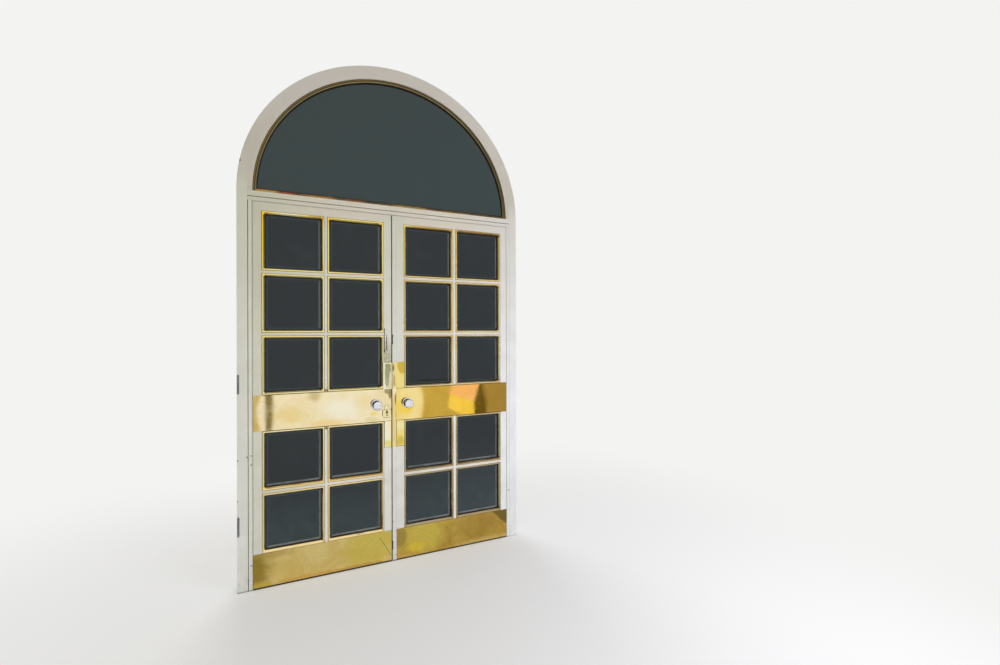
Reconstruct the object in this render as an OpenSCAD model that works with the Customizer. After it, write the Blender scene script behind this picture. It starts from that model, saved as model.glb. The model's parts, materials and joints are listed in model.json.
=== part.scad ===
// Arched entrance door set: two glazed leaves under a half-round fanlight.
// Origin: wall face of the left jamb, at floor level, at the middle of the frame's depth.
// +X runs to the right jamb, +Y into the building, +Z up. Millimetres.

/* [Frame] */
// Width over both jambs, which is also the arch's outer diameter
frame_w = 1666; // [1500:1:1800]
// Height of the arch's springing line above the floor
spring_z = 2156; // [2100:1:2300]
// Depth of the frame through the wall
frame_d = 100; // [84:1:140]
// Face width of a jamb and of the arch's casing
jamb_w = 51; // [42:1:60]
// Face width of the jamb behind the leaf, where it makes room for the hinges
jamb_back_w = 36; // [24:1:38]
// Face height of the transom bar
transom_h = 29; // [24:1:40]
// Face width of the stop strip on each jamb
stop_w = 20; // [14:1:26]
// Face height of the stop strip under the transom
head_stop_h = 24; // [14:1:30]
// Thickness of the stop strips
stop_t = 14; // [10:1:18]
// Groove between the casing and the stop strips
quirk = 4; // [1:0.5:5]

/* [Leaves] */
// Thickness of a leaf
leaf_t = 45; // [40:1:54]
// Running gap between a leaf and the frame
leaf_gap = 5; // [4:0.5:6]
// Running gap between the left leaf and the meeting strip
meet_gap = 5; // [4.5:0.5:8]
// Gap under the leaves
floor_gap = 6; // [5:0.5:12]
// Face width of the meeting stile
meet_stile_w = 51; // [45:1:65]
// Face width of the hinge stile, without its rebate
hinge_stile_w = 44; // [36:1:60]
// Face height of the top rail, without its rebate
top_rail_h = 48; // [40:1:80]
// Height of the lock rail's lower edge
lock_rail_z = 850; // [800:1:900]
// Face height of the lock rail
lock_rail_h = 200; // [180:1:240]
// Height of the bottom rail's upper edge
kick_rail_z = 190; // [150:1:240]
// Face width of the glazing bars
bar_w = 20; // [16:1:26]

/* [Glazing] */
// Thickness of the bevelled panes
glass_t = 8; // [6:0.5:10]
// Width of the bevel round a pane
bevel_w = 28; // [16:1:34]
// Depth of the bevel
bevel_d = 3; // [1:0.5:4]
// Room between a pane and its rebate
pane_play = 0.5; // [0.2:0.1:0.8]
// Width of the metal bead round a pane
bead_w = 13; // [10:1:16]
// How far the bead stands proud of the leaf
bead_proud = 4; // [2:0.5:6]
// Flat front land of the bead
bead_land = 4; // [2:0.5:5]
// Rounded-off outer corner of the bead
bead_ease = 2; // [1:0.5:3]
// How far the bead's slope reaches down behind the leaf's face
bead_slope = 6; // [4:0.5:10]

/* [Fanlight] */
// Radial width of the stop ring inside the casing
fan_stop_w = 24; // [18:1:30]
// Depth of the stop ring
fan_stop_d = 60; // [50:1:80]
// Thickness of the fanlight's glass
fan_glass_t = 8; // [6:0.5:10]
// Radial width of the fanlight's bead
fan_bead_w = 18; // [12:1:22]
// Depth of the fanlight's bead, in front of the glass and behind it
fan_bead_d = 16; // [10:1:20]
// Bevel on the fanlight's bead
fan_bead_ease = 6; // [2:0.5:8]

/* [Meeting strip] */
// Width of the meeting strip
strip_w = 24; // [20:1:30]
// How far the strip stands proud of the leaves
strip_proud = 5; // [3:0.5:8]
// Rounding of the strip's front edges
strip_ease = 3; // [1:0.5:4]
// Thickness of sheet metal
sheet_t = 1.5; // [1:0.1:2]

/* [Plates] */
// Painted rail left bare above and below the lock plate
lock_reveal = 1.5; // [0.5:0.5:6]
// Painted rail left bare above the kick plate
kick_reveal = 1.5; // [0.5:0.5:6]
// Gap under the kick plate
kick_gap = 5; // [5:0.5:10]
// Length of each stile plate above and below the lock plate
stile_plate_l = 158; // [100:1:200]
// Stile left bare at the free edge, beside a stile plate
stile_reveal = 1; // [0.5:0.5:6]
// Stile left bare between the left leaf's stile plate and its beads
left_bead_reveal = 5; // [1:0.5:8]
// Stile left bare between the right leaf's stile plates and its beads
right_bead_reveal = 1; // [0.5:0.5:6]

/* [Lock] */
// Distance of the knobs' centre line below the lock rail's upper edge
knob_drop = 95; // [80:1:105]
// Distance of the left knob's centre line from the left leaf's free edge
left_knob_inset = 89; // [87:1:120]
// Distance of the right knob's centre line from the right leaf's free edge
right_knob_inset = 69; // [50:1:90]
// Diameter of a knob's rose
rose_d = 65; // [54:1:70]
// Thickness of a rose at its rim
rose_t = 6; // [4:0.5:8]
// Diameter of a knob
knob_d = 54; // [44:1:58]
// Diameter of a knob's neck
neck_d = 26; // [20:1:30]
// How far a knob stands out from its plate
knob_reach = 59; // [52:1:68]
// Height of a knob's domed face
knob_dome = 5; // [2:0.5:8]
// Width of the cylinder guard
guard_w = 49; // [38:1:52]
// Height of the guard's square part
guard_h = 46; // [40:1:50]
// How far the guard stands proud
guard_t = 9; // [6:0.5:12]
// Rounding of the guard's corners
guard_ease = 10; // [4:0.5:14]
// Distance of the guard from the leaf's free edge
guard_inset = 3.5; // [3:0.5:6]
// Distance of the guard's lower edge above the lock plate's lower edge
guard_up = 26; // [16:1:34]
// Diameter of the lock cylinder's round part
cylinder_d = 17; // [16:0.5:18]
// Width of the lock cylinder's lower part
cylinder_leg_w = 10; // [9:0.5:11]
// Full height of the lock cylinder
cylinder_h = 33; // [30:0.5:34]
// Diameter of the swivel cover above the guard
cover_d = 30; // [24:1:32]
// How far the strike box above the lock plate stands proud
box_t = 18; // [14:1:24]
// Width of the rim round the strike box's sunk face
box_rim = 7; // [5:0.5:10]
// Depth of the strike box's sunk face below its rim
box_sink = 10; // [4:1:12]
// Rounding of the sunk face's corners
box_corner = 10; // [4:1:14]

/* [Hinges] */
// Hinges on each leaf
hinge_count = 3; // [2:1:4]
// Height of the lowest hinge's middle
hinge_low_z = 250; // [200:1:350]
// Distance of the highest hinge's middle below the springing line
hinge_high_drop = 250; // [200:1:400]
// Length of a hinge
hinge_l = 100; // [80:1:125]
// Width of a hinge plate on the wood
hinge_plate_w = 23; // [18:1:24]
// Thickness of a hinge plate
hinge_plate_t = 2.5; // [2:0.1:3]
// Radius of a leaf hinge's barrel
barrel_r = 6.5; // [6:0.1:8]
// Radius of the hinge pin
pin_r = 3.5; // [2.5:0.1:4]
// Radial running clearance on the pin
pin_play = 0.07; // [0.03:0.01:0.1]
// Running gap between two knuckles
knuckle_gap = 0.4; // [0.3:0.1:0.6]

/* [Side hinges] */
// Height of the lower side hinge's foot
side_low_z = 302; // [200:1:400]
// Height of the upper side hinge's foot
side_high_z = 1062; // [900:1:1200]
// Width of a side hinge's plate on the jamb's face
side_plate_w = 10; // [8:0.5:16]
// Radius of a side hinge's barrel
side_barrel_r = 3.5; // [3:0.1:4]
// Radius of a side hinge's pin
side_pin_r = 2; // [1.5:0.1:2.5]

/* [Hidden] */

paint = [0.86, 0.84, 0.78];
brass = [0.80, 0.62, 0.25];
bronze = [0.45, 0.33, 0.16];
steel = [0.78, 0.79, 0.80];
tint = [0.20, 0.24, 0.26];

// Cut length past a face
over = 1;
round_fn = 96;
arc_fn = 180;

// Distances across the doorway, from its centre line outwards
half_w = frame_w / 2;
jamb_u = half_w - jamb_w;
stop_u = jamb_u - stop_w;
edge_u = jamb_u - leaf_gap;
lip_u = stop_u - leaf_gap;
glaze_out_u = lip_u - hinge_stile_w;
glaze_in_u = strip_w / 2 + meet_stile_w;
pane_w = (glaze_out_u - glaze_in_u - bar_w) / 2;
left_free_u = strip_w / 2 + meet_gap;
right_free_u = strip_w / 2;
guard_u = left_free_u + guard_inset + guard_w / 2;

// Heights
transom_z = spring_z - transom_h;
head_stop_z = transom_z - head_stop_h;
lip_top_z = head_stop_z - leaf_gap;
back_top_z = transom_z - leaf_gap;
glaze_top_z = lip_top_z - top_rail_h;
upper_z = lock_rail_z + lock_rail_h;
upper_rows = 3;
lower_rows = 2;
upper_pane_h = (glaze_top_z - upper_z - (upper_rows - 1) * bar_w) / upper_rows;
lower_pane_h = (lock_rail_z - kick_rail_z - (lower_rows - 1) * bar_w) / lower_rows;
lock_plate_z = lock_rail_z + lock_reveal;
lock_plate_top = upper_z - lock_reveal;
kick_plate_top = kick_rail_z - kick_reveal;
cover_z0 = lock_plate_z - stile_plate_l;
cover_z1 = lock_plate_top + stile_plate_l;
knob_z = upper_z - knob_drop;
guard_z = lock_plate_z + guard_up;

// Depths, from the street face inwards
lip_t = stop_t + leaf_gap;
glass_y = (leaf_t - glass_t) / 2;
fan_glass_y = (fan_stop_d - fan_glass_t) / 2;

// Hinges
pivot_u = (jamb_u + edge_u) / 2;
pivot_y = leaf_t + barrel_r;
knuckles = 5;
knuckle_l = hinge_l / knuckles;
hinge_high_z = spring_z - hinge_high_drop;
hinge_zs = [for (i = [0:hinge_count - 1])
    hinge_low_z + i * (hinge_high_z - hinge_low_z) / (hinge_count - 1)];

// Glass edge radius of the fanlight
fan_r = half_w - jamb_w - fan_stop_w;

// Shapes are drawn for the right half, from the centre line outwards and the street face inwards
module right_side() translate([half_w, -frame_d / 2, 0]) children();
module left_side() translate([half_w, -frame_d / 2, 0]) mirror([1, 0, 0]) children();

// A board from corner a to corner b, each [u, y, z]
module board(a, b) translate(a) cube(b - a);

// A rectangular solid w by h whose edges follow a profile of [inset, depth] points
module framed_solid(w, h, profile) {
    n = len(profile) - 1;
    side_pts = concat([for (p = profile) [p[1], p[0]]],
                      [for (i = [n:-1:0]) [profile[i][1], h - profile[i][0]]]);
    plan_pts = concat([for (p = profile) [p[0], p[1]]],
                      [for (i = [n:-1:0]) [w - profile[i][0], profile[i][1]]]);
    intersection() {
        rotate([90, 0, 90]) linear_extrude(w) polygon(side_pts);
        linear_extrude(h) polygon(plan_pts);
    }
}

// Places children at every pane of a leaf; $pw and $ph give the pane's size
module at_panes() {
    for (col = [0, 1]) {
        u = glaze_in_u + col * (pane_w + bar_w);
        for (row = [0:upper_rows - 1])
            translate([u, 0, upper_z + row * (upper_pane_h + bar_w)]) {
                $ph = upper_pane_h;
                children();
            }
        for (row = [0:lower_rows - 1])
            translate([u, 0, kick_rail_z + row * (lower_pane_h + bar_w)]) {
                $ph = lower_pane_h;
                children();
            }
    }
}

// One bevelled pane in an opening of height h
module pane(h) {
    back_y = glass_y + glass_t;
    translate([pane_play, 0, pane_play])
        framed_solid(pane_w - 2 * pane_play, h - 2 * pane_play,
            [[bevel_w, glass_y], [0, glass_y + bevel_d], [0, back_y]]);
}

// The mitred bead on the street side of a pane
module bead(h) {
    difference() {
        framed_solid(pane_w, h,
            [[bead_ease, -bead_proud], [0, bead_ease - bead_proud], [0, glass_y]]);
        framed_solid(pane_w, h,
            [[bead_ease + bead_land, -bead_proud - over], [bead_ease + bead_land, -bead_proud],
             [bead_w, bead_slope], [bead_w, glass_y + over]]);
    }
}

// Both beads of a pane, street side and room side
module bead_pair(h) {
    bead(h);
    translate([0, leaf_t, 0]) mirror([0, 1, 0]) bead(h);
}

// Sunk seats for the hinge plates, in the jamb (side 1) or the leaf's edge (side -1)
module hinge_seats(side) {
    face_u = side > 0 ? jamb_u : edge_u;
    for (z = hinge_zs)
        translate([side > 0 ? face_u - over : face_u - hinge_plate_t,
                   leaf_t - hinge_plate_w, z - hinge_l / 2])
            cube([hinge_plate_t + over, hinge_plate_w + over, hinge_l]);
}

// One half of a butt hinge: side 1 is on the jamb with the pin, side -1 on the leaf
module hinge_half(side) {
    plate_u = side > 0 ? jamb_u : edge_u - hinge_plate_t;
    odd = side > 0 ? 0 : 1;
    difference() {
        union() {
            translate([plate_u, leaf_t - hinge_plate_w, 0])
                cube([hinge_plate_t, hinge_plate_w, hinge_l]);
            for (k = [odd:2:knuckles - 1]) {
                low = k * knuckle_l + (k > 0 ? knuckle_gap / 2 : 0);
                high = (k + 1) * knuckle_l - (k < knuckles - 1 ? knuckle_gap / 2 : 0);
                translate([pivot_u, pivot_y, low])
                    cylinder(h = high - low, r = barrel_r, $fn = round_fn);
                translate([plate_u, leaf_t - over, low])
                    cube([hinge_plate_t, over + barrel_r / 2, high - low]);
            }
            if (side > 0)
                translate([pivot_u, pivot_y, knuckle_l / 2])
                    cylinder(h = hinge_l - knuckle_l, r = pin_r, $fn = round_fn);
        }
        if (side < 0)
            translate([pivot_u, pivot_y, -over])
                cylinder(h = hinge_l + 2 * over, r = pin_r + pin_play, $fn = round_fn);
    }
}

module hinge_row(side) for (z = hinge_zs) translate([0, 0, z - hinge_l / 2]) hinge_half(side);

// The jamb's half of a hinge at the frame's outer edge, on its street face, with its pin
module side_hinge_half() {
    board([half_w - side_plate_w, -hinge_plate_t, 0], [half_w, 0, hinge_l]);
    translate([half_w - side_barrel_r, -side_barrel_r, 0]) {
        for (k = [0:2:knuckles - 1])
            translate([0, 0, k * knuckle_l])
                cylinder(h = knuckle_l - knuckle_gap, r = side_barrel_r, $fn = round_fn);
        cylinder(h = hinge_l - knuckle_gap, r = side_pin_r, $fn = round_fn);
    }
}

// Frame pieces of the right half
module jamb() {
    difference() {
        linear_extrude(spring_z) polygon([
            [jamb_u, 0], [half_w, 0], [half_w, frame_d], [half_w - jamb_back_w, frame_d],
            [half_w - jamb_back_w, leaf_t], [jamb_u, leaf_t]]);
        hinge_seats(1);
    }
}

// A stop strip with its grooved edge against the jamb
module side_stop(groove) {
    linear_extrude(head_stop_z) polygon([
        [stop_u, 0], [jamb_u - groove, 0], [jamb_u, groove], [jamb_u, stop_t], [stop_u, stop_t]]);
}

// The upper half of a disc standing on the springing line, from depth y0 to y1
module half_disc(r, y0, y1) {
    translate([half_w, -frame_d / 2, spring_z]) difference() {
        translate([0, y1, 0]) rotate([90, 0, 0]) cylinder(h = y1 - y0, r = r, $fn = arc_fn);
        translate([-r - over, y0 - over, -r - over])
            cube([2 * (r + over), y1 - y0 + 2 * over, r + over]);
    }
}

module half_ring(r_out, r_in, y0, y1) {
    difference() {
        half_disc(r_out, y0, y1);
        translate([half_w, y1 + over - frame_d / 2, spring_z]) rotate([90, 0, 0])
            cylinder(h = y1 - y0 + 2 * over, r = r_in, $fn = arc_fn);
    }
}

// One D-shaped bead of the fanlight, its back against the glass at depth y
module fan_bead() {
    ring = [[fan_r - fan_bead_w, 0], [fan_r, 0], [fan_r, fan_bead_d],
            [fan_r - fan_bead_w + fan_bead_ease, fan_bead_d],
            [fan_r - fan_bead_w, fan_bead_d - fan_bead_ease]];
    bar = [for (p = ring) [fan_r - p[0], p[1]]];
    intersection() {
        union() {
            difference() {
                rotate([90, 0, 0]) rotate_extrude($fn = arc_fn) polygon(ring);
                translate([-frame_w, -frame_d, -frame_w]) cube([2 * frame_w, 2 * frame_d, frame_w]);
            }
            translate([-fan_r, 0, 0]) rotate([90, 0, 90]) linear_extrude(2 * fan_r)
                polygon([for (p = bar) [-p[1], p[0]]]);
        }
        translate([0, over, 0]) rotate([90, 0, 0])
            cylinder(h = fan_bead_d + 2 * over, r = fan_r, $fn = arc_fn);
    }
}

// Leaf pieces of the right half
module hinge_stile() {
    difference() {
        union() {
            board([glaze_out_u, 0, floor_gap], [lip_u, lip_t, lip_top_z]);
            board([glaze_out_u, lip_t, floor_gap], [edge_u, leaf_t, back_top_z]);
        }
        hinge_seats(-1);
    }
}

module meeting_stile(free_u) {
    board([free_u, 0, floor_gap], [glaze_in_u, lip_t, lip_top_z]);
    board([free_u, lip_t, floor_gap], [glaze_in_u, leaf_t, back_top_z]);
}

module top_rail() {
    board([glaze_in_u, 0, glaze_top_z], [glaze_out_u, lip_t, lip_top_z]);
    board([glaze_in_u, lip_t, glaze_top_z], [glaze_out_u, leaf_t, back_top_z]);
}

module lock_rail() board([glaze_in_u, 0, lock_rail_z], [glaze_out_u, leaf_t, upper_z]);

module bottom_rail() board([glaze_in_u, 0, floor_gap], [glaze_out_u, leaf_t, kick_rail_z]);

module glazing_posts() {
    u = glaze_in_u + pane_w;
    board([u, 0, upper_z], [u + bar_w, leaf_t, glaze_top_z]);
    board([u, 0, kick_rail_z], [u + bar_w, leaf_t, lock_rail_z]);
}

module glazing_bars() {
    for (col = [0, 1]) {
        u = glaze_in_u + col * (pane_w + bar_w);
        for (row = [1:upper_rows - 1]) {
            z = upper_z + row * (upper_pane_h + bar_w) - bar_w;
            board([u, 0, z], [u + pane_w, leaf_t, z + bar_w]);
        }
        for (row = [1:lower_rows - 1]) {
            z = kick_rail_z + row * (lower_pane_h + bar_w) - bar_w;
            board([u, 0, z], [u + pane_w, leaf_t, z + bar_w]);
        }
    }
}

module lock_plate(free_u) {
    board([free_u, -sheet_t, lock_plate_z], [lip_u, 0, lock_plate_top]);
}

module kick_plate(free_u) board([free_u, -sheet_t, kick_gap], [lip_u, 0, kick_plate_top]);

// A plate on the meeting stile, from height z upwards, that stops short of the beads
module stile_plate(free_u, bead_reveal, z) {
    board([free_u + stile_reveal, -sheet_t, z], [glaze_in_u - bead_reveal, 0, z + stile_plate_l]);
}

// Points on an arc about c, from angle a0 to angle a1
function arc(c, r, a0, a1, n = 8) =
    [for (i = [0:n]) c + r * [cos(a0 + (a1 - a0) * i / n), sin(a0 + (a1 - a0) * i / n)]];

// A knob on its rose, turned about Y, standing out towards the street from the plane y = 0
module knob() {
    rose_r = rose_d / 2;
    knob_r = knob_d / 2;
    neck_r = neck_d / 2;
    cove_r = rose_t;
    back_r = knob_r - neck_r - 2;
    rim_r = 4;
    face_r = knob_r - rim_r;
    dome_r = (face_r * face_r + knob_dome * knob_dome) / (2 * knob_dome);
    rim_y = knob_reach - knob_dome - rim_r;
    rotate([90, 0, 0]) rotate_extrude($fn = round_fn) polygon(concat(
        [[0, 0]],
        arc([rose_r - rose_t, 0], rose_t, 0, 90),
        arc([neck_r + cove_r, rose_t + cove_r], cove_r, 270, 180),
        [[neck_r, rim_y - 2 * rim_r - back_r]],
        arc([knob_r - back_r, rim_y - rim_r], back_r, 270, 360),
        arc([face_r, rim_y], rim_r, 0, 80),
        arc([0, knob_reach - dome_r], dome_r, 90 - asin(face_r / dome_r), 90)));
}

// The street-side knob and the room-side knob of a leaf
module knob_pair(u) {
    translate([u, -sheet_t, knob_z]) knob();
    translate([u, leaf_t, knob_z]) mirror([0, 1, 0]) knob();
}

// The box over the bolt's strike, lapping over the bead, with a raised rim round a sunk face
module strike_box(z) {
    u0 = left_free_u + stile_reveal;
    u1 = glaze_in_u + bead_ease + bead_land;
    difference() {
        board([u0, -box_t, z], [u1, 0, z + stile_plate_l]);
        board([glaze_in_u, -bead_proud, z - over], [u1 + over, over, z + stile_plate_l + over]);
        translate([(u0 + u1) / 2, box_sink - box_t, z + box_rim])
            rounded_plate(u1 - u0 - 2 * box_rim, stile_plate_l - 2 * box_rim, box_corner, box_sink + over);
    }
}

// A rectangle w by h on the X axis' middle, standing on it, with rounded corners
module rounded_plate(w, h, r, t) {
    rotate([90, 0, 0]) linear_extrude(t) {
        translate([r - w / 2, 0]) square([w - 2 * r, h]);
        translate([-w / 2, r]) square([w, h - 2 * r]);
        for (x = [r - w / 2, w / 2 - r], z = [r, h - r]) translate([x, z]) circle(r, $fn = 48);
    }
}

// The lock cylinder's outline: a round head with a narrower leg below it, t deep
module cylinder_shape(t) {
    leg_r = cylinder_leg_w / 2;
    head_z = cylinder_h - cylinder_d / 2;
    rotate([90, 0, 0]) linear_extrude(t) {
        translate([0, head_z]) circle(cylinder_d / 2, $fn = 48);
        translate([0, leg_r]) circle(leg_r, $fn = 48);
        translate([-leg_r, leg_r]) square([cylinder_leg_w, head_z - leg_r]);
    }
}

// The guard round the lock cylinder: a rounded block with a swivel cover above it
module cylinder_guard() {
    key_w = 2.5;
    key_h = 9;
    face_t = guard_t / 3;
    well_z = (guard_h - cylinder_h) / 2;
    head_z = well_z + cylinder_h - cylinder_d / 2;
    translate([guard_u, -sheet_t, guard_z]) {
        difference() {
            rounded_plate(guard_w, guard_h, guard_ease, guard_t);
            translate([0, -face_t, well_z]) cylinder_shape(guard_t);
            translate([-key_w / 2, -face_t - over, head_z - key_h / 2]) cube([key_w, face_t, key_h]);
        }
        translate([0, 0, guard_h + cover_d * 0.4]) rotate([90, 0, 0])
            cylinder(h = guard_t * 0.7, r = cover_d / 2, $fn = 48);
    }
}

// The strip that closes the joint between the leaves, carried by the right leaf
module strip(z0, z1, proud, ease) {
    w = strip_w / 2;
    translate([0, 0, z0]) linear_extrude(z1 - z0) polygon([
        [-w, leaf_t], [-w, ease - proud], [ease - w, -proud],
        [w - ease, -proud], [w, ease - proud], [w, leaf_t]]);
}

module left_jamb() color(paint) left_side() jamb();
module right_jamb() color(paint) right_side() jamb();
module transom() color(paint) translate([0, -frame_d / 2, 0])
    board([jamb_w, 0, transom_z], [frame_w - jamb_w, frame_d, spring_z]);
module left_stop() color(paint) left_side() side_stop(quirk);
module right_stop() color(paint) right_side() side_stop(quirk / 3);
module head_stop() color(paint) translate([0, -frame_d / 2, 0])
    translate([jamb_w, 0, 0]) rotate([90, 0, 90]) linear_extrude(frame_w - 2 * jamb_w) polygon([
        [0, head_stop_z], [stop_t, head_stop_z], [stop_t, transom_z],
        [quirk, transom_z], [0, transom_z - quirk]]);
module arch_casing() color(paint) half_ring(half_w, jamb_u, 0, frame_d);
module arch_stop() color(paint) half_ring(jamb_u, fan_r, 0, fan_stop_d);
module fanlight_glass() color(tint)
    half_disc(fan_r - pane_play, fan_glass_y, fan_glass_y + fan_glass_t);
module fanlight_bead() color(bronze) translate([half_w, -frame_d / 2, spring_z]) {
    translate([0, fan_glass_y, 0]) fan_bead();
    translate([0, fan_glass_y + fan_glass_t, 0]) mirror([0, 1, 0]) fan_bead();
}
module frame_hinges() color(steel) {
    left_side() hinge_row(1);
    right_side() hinge_row(1);
}

module side_hinge_halves() color(steel) left_side()
    for (z = [side_low_z, side_high_z]) translate([0, 0, z]) side_hinge_half();

module left_hinge_stile() color(paint) left_side() hinge_stile();
module left_meeting_stile() color(paint) left_side() meeting_stile(left_free_u);
module left_top_rail() color(paint) left_side() top_rail();
module left_lock_rail() color(paint) left_side() lock_rail();
module left_bottom_rail() color(paint) left_side() bottom_rail();
module left_glazing_posts() color(paint) left_side() glazing_posts();
module left_glazing_bars() color(paint) left_side() glazing_bars();
module left_panes() color(tint) left_side() at_panes() pane($ph);
module left_beads() color(brass) left_side() at_panes() bead_pair($ph);
module left_lock_plate() color(brass) left_side() lock_plate(left_free_u);
module left_kick_plate() color(brass) left_side() kick_plate(left_free_u);
module left_stile_plate() color(brass) left_side()
    stile_plate(left_free_u, left_bead_reveal, lock_plate_z - stile_plate_l);
module left_strike_box() color(brass) left_side() strike_box(lock_plate_top);
module left_guard() color(brass) left_side() cylinder_guard();
module left_knobs() color(steel) left_side() knob_pair(left_free_u + left_knob_inset);
module left_hinges() color(steel) left_side() hinge_row(-1);

module right_hinge_stile() color(paint) right_side() hinge_stile();
module right_meeting_stile() color(paint) right_side() meeting_stile(right_free_u);
module right_top_rail() color(paint) right_side() top_rail();
module right_lock_rail() color(paint) right_side() lock_rail();
module right_bottom_rail() color(paint) right_side() bottom_rail();
module right_glazing_posts() color(paint) right_side() glazing_posts();
module right_glazing_bars() color(paint) right_side() glazing_bars();
module right_panes() color(tint) right_side() at_panes() pane($ph);
module right_beads() color(brass) right_side() at_panes() bead_pair($ph);
module right_lock_plate() color(brass) right_side() lock_plate(right_free_u);
module right_kick_plate() color(brass) right_side() kick_plate(right_free_u);
module right_stile_plates() color(brass) right_side() {
    for (z = [lock_plate_z - stile_plate_l, lock_plate_top])
        stile_plate(right_free_u, right_bead_reveal, z);
}
module right_knobs() color(steel) right_side() knob_pair(right_free_u + right_knob_inset);
module right_hinges() color(steel) right_side() hinge_row(-1);
module meeting_strip() color(paint) right_side() difference() {
    strip(floor_gap, back_top_z, strip_proud, strip_ease);
    board([-strip_w, -strip_proud - over, lip_top_z], [strip_w, lip_t, back_top_z + over]);
}
module strip_cover() color(brass) right_side() difference() {
    translate([0, 0, cover_z0]) linear_extrude(cover_z1 - cover_z0)
        polygon([[-strip_w / 2, -strip_proud - sheet_t], [strip_w / 2, -strip_proud - sheet_t],
                 [strip_w / 2, strip_ease - strip_proud], [-strip_w / 2, strip_ease - strip_proud]]);
    strip(cover_z0 - over, cover_z1 + over, strip_proud, strip_ease);
}

left_jamb();
right_jamb();
transom();
left_stop();
right_stop();
head_stop();
arch_casing();
arch_stop();
fanlight_glass();
fanlight_bead();
frame_hinges();
side_hinge_halves();
left_hinge_stile();
left_meeting_stile();
left_top_rail();
left_lock_rail();
left_bottom_rail();
left_glazing_posts();
left_glazing_bars();
left_panes();
left_beads();
left_lock_plate();
left_kick_plate();
left_stile_plate();
left_strike_box();
left_guard();
left_knobs();
left_hinges();
right_hinge_stile();
right_meeting_stile();
right_top_rail();
right_lock_rail();
right_bottom_rail();
right_glazing_posts();
right_glazing_bars();
right_panes();
right_beads();
right_lock_plate();
right_kick_plate();
right_stile_plates();
right_knobs();
right_hinges();
meeting_strip();
strip_cover();
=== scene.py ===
"""Looks of an arched double entrance door: finishes, eased edges, small fittings, studio and camera."""

import json
import logging
import math
from collections.abc import Callable, Iterator
from contextlib import contextmanager
from dataclasses import dataclass
from enum import Enum
from functools import cached_property

import bmesh
import bpy
from bpy.types import Material, Node, NodeSocket, NodeTree, Object
from mathutils import Matrix, Vector

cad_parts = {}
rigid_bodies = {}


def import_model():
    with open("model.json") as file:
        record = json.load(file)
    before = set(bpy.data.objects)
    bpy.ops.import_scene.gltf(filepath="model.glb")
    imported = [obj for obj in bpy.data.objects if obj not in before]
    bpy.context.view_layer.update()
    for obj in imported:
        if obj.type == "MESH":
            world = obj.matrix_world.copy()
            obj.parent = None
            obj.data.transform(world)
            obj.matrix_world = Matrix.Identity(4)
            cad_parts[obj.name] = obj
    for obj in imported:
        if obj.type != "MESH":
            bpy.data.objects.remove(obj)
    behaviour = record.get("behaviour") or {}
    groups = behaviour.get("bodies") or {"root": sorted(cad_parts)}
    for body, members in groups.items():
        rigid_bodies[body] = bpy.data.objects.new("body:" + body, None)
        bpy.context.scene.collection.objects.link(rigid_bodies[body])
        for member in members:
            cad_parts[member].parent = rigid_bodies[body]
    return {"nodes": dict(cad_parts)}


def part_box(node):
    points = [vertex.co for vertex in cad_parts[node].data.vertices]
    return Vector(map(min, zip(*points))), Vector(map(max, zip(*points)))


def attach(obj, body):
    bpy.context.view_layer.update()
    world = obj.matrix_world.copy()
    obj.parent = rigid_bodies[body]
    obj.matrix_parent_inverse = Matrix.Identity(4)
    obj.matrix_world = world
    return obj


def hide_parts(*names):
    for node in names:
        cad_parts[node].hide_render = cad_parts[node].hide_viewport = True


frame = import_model()

Colour = tuple[float, float, float]
Point = tuple[float, float, float]
Pair = tuple[float, float]

LOG = logging.getLogger("entrance_door")
MM = 0.001
WELD = 0.01 * MM
STRIP_EASE = 0.3
ROUND_STEPS = 2
QUARTER = math.radians(90)


def tone(red: int, green: int, blue: int) -> Colour:
    """Turns an 8-bit display colour into the linear colour that a shader takes.

    Args:
        red: Red, 0 to 255.
        green: Green, 0 to 255.
        blue: Blue, 0 to 255.

    Returns:
        The linear colour.
    """
    shares = [value / 255 for value in (red, green, blue)]
    return tuple(s / 12.92 if s <= 0.04045 else ((s + 0.055) / 1.055) ** 2.4 for s in shares)


def cad(node: str) -> Object:
    """Gives the object of a CAD node."""
    return frame["nodes"][node]


class Grain(Enum):
    """The way that a brush or a polishing wheel ran over a piece."""

    UPRIGHT = "upright"
    LEVEL = "level"
    RING = "ring"


@dataclass(frozen=True)
class Opening:
    """Sizes of the doorway, read from the frame, in metres."""

    left: float
    right: float
    spring: float
    street: float

    @property
    def middle(self) -> float:
        """The doorway's centre line."""
        return (self.left + self.right) / 2

    @staticmethod
    def measured() -> "Opening":
        """Reads the doorway's sizes from the jambs and the casing."""
        jamb_low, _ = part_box("left_jamb")
        _, jamb_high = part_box("right_jamb")
        casing_low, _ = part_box("arch_casing")
        return Opening(jamb_low.x, jamb_high.x, casing_low.z, jamb_low.y)


OPENING = Opening.measured()


@dataclass(frozen=True)
class Pattern:
    """A noise pattern, with the span of its values that is eased into the result's range."""

    scale: float
    detail: float = 4
    rough: float = 0.5
    twist: float = 0
    span: Pair | None = None
    result: Pair = (0, 1)


@dataclass(frozen=True)
class Score:
    """A line drawn on a surface between two points of X and Z: a scratch in paint, and on the brass plates
    mostly a painted shadow line along an edge.
    """

    start: Pair
    end: Pair
    width: float = 0.005
    ragged: float = 1.5


@dataclass(frozen=True)
class Line:
    """A line painted on the fanlight's bead, at a distance from the arch's centre; the dark ones are painted
    shade and the lighter ones painted highlight, for the bead's moulded profile.
    """

    reach: float
    width: float
    colour: Colour


@dataclass(frozen=True)
class NeckShade:
    """A dark band on a knob's neck, between two distances from the door's mid-depth: painted shade and a
    painted dark reflection, with patina where polish misses.
    """

    middle: float
    near: float
    far: float
    colour: Colour


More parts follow.
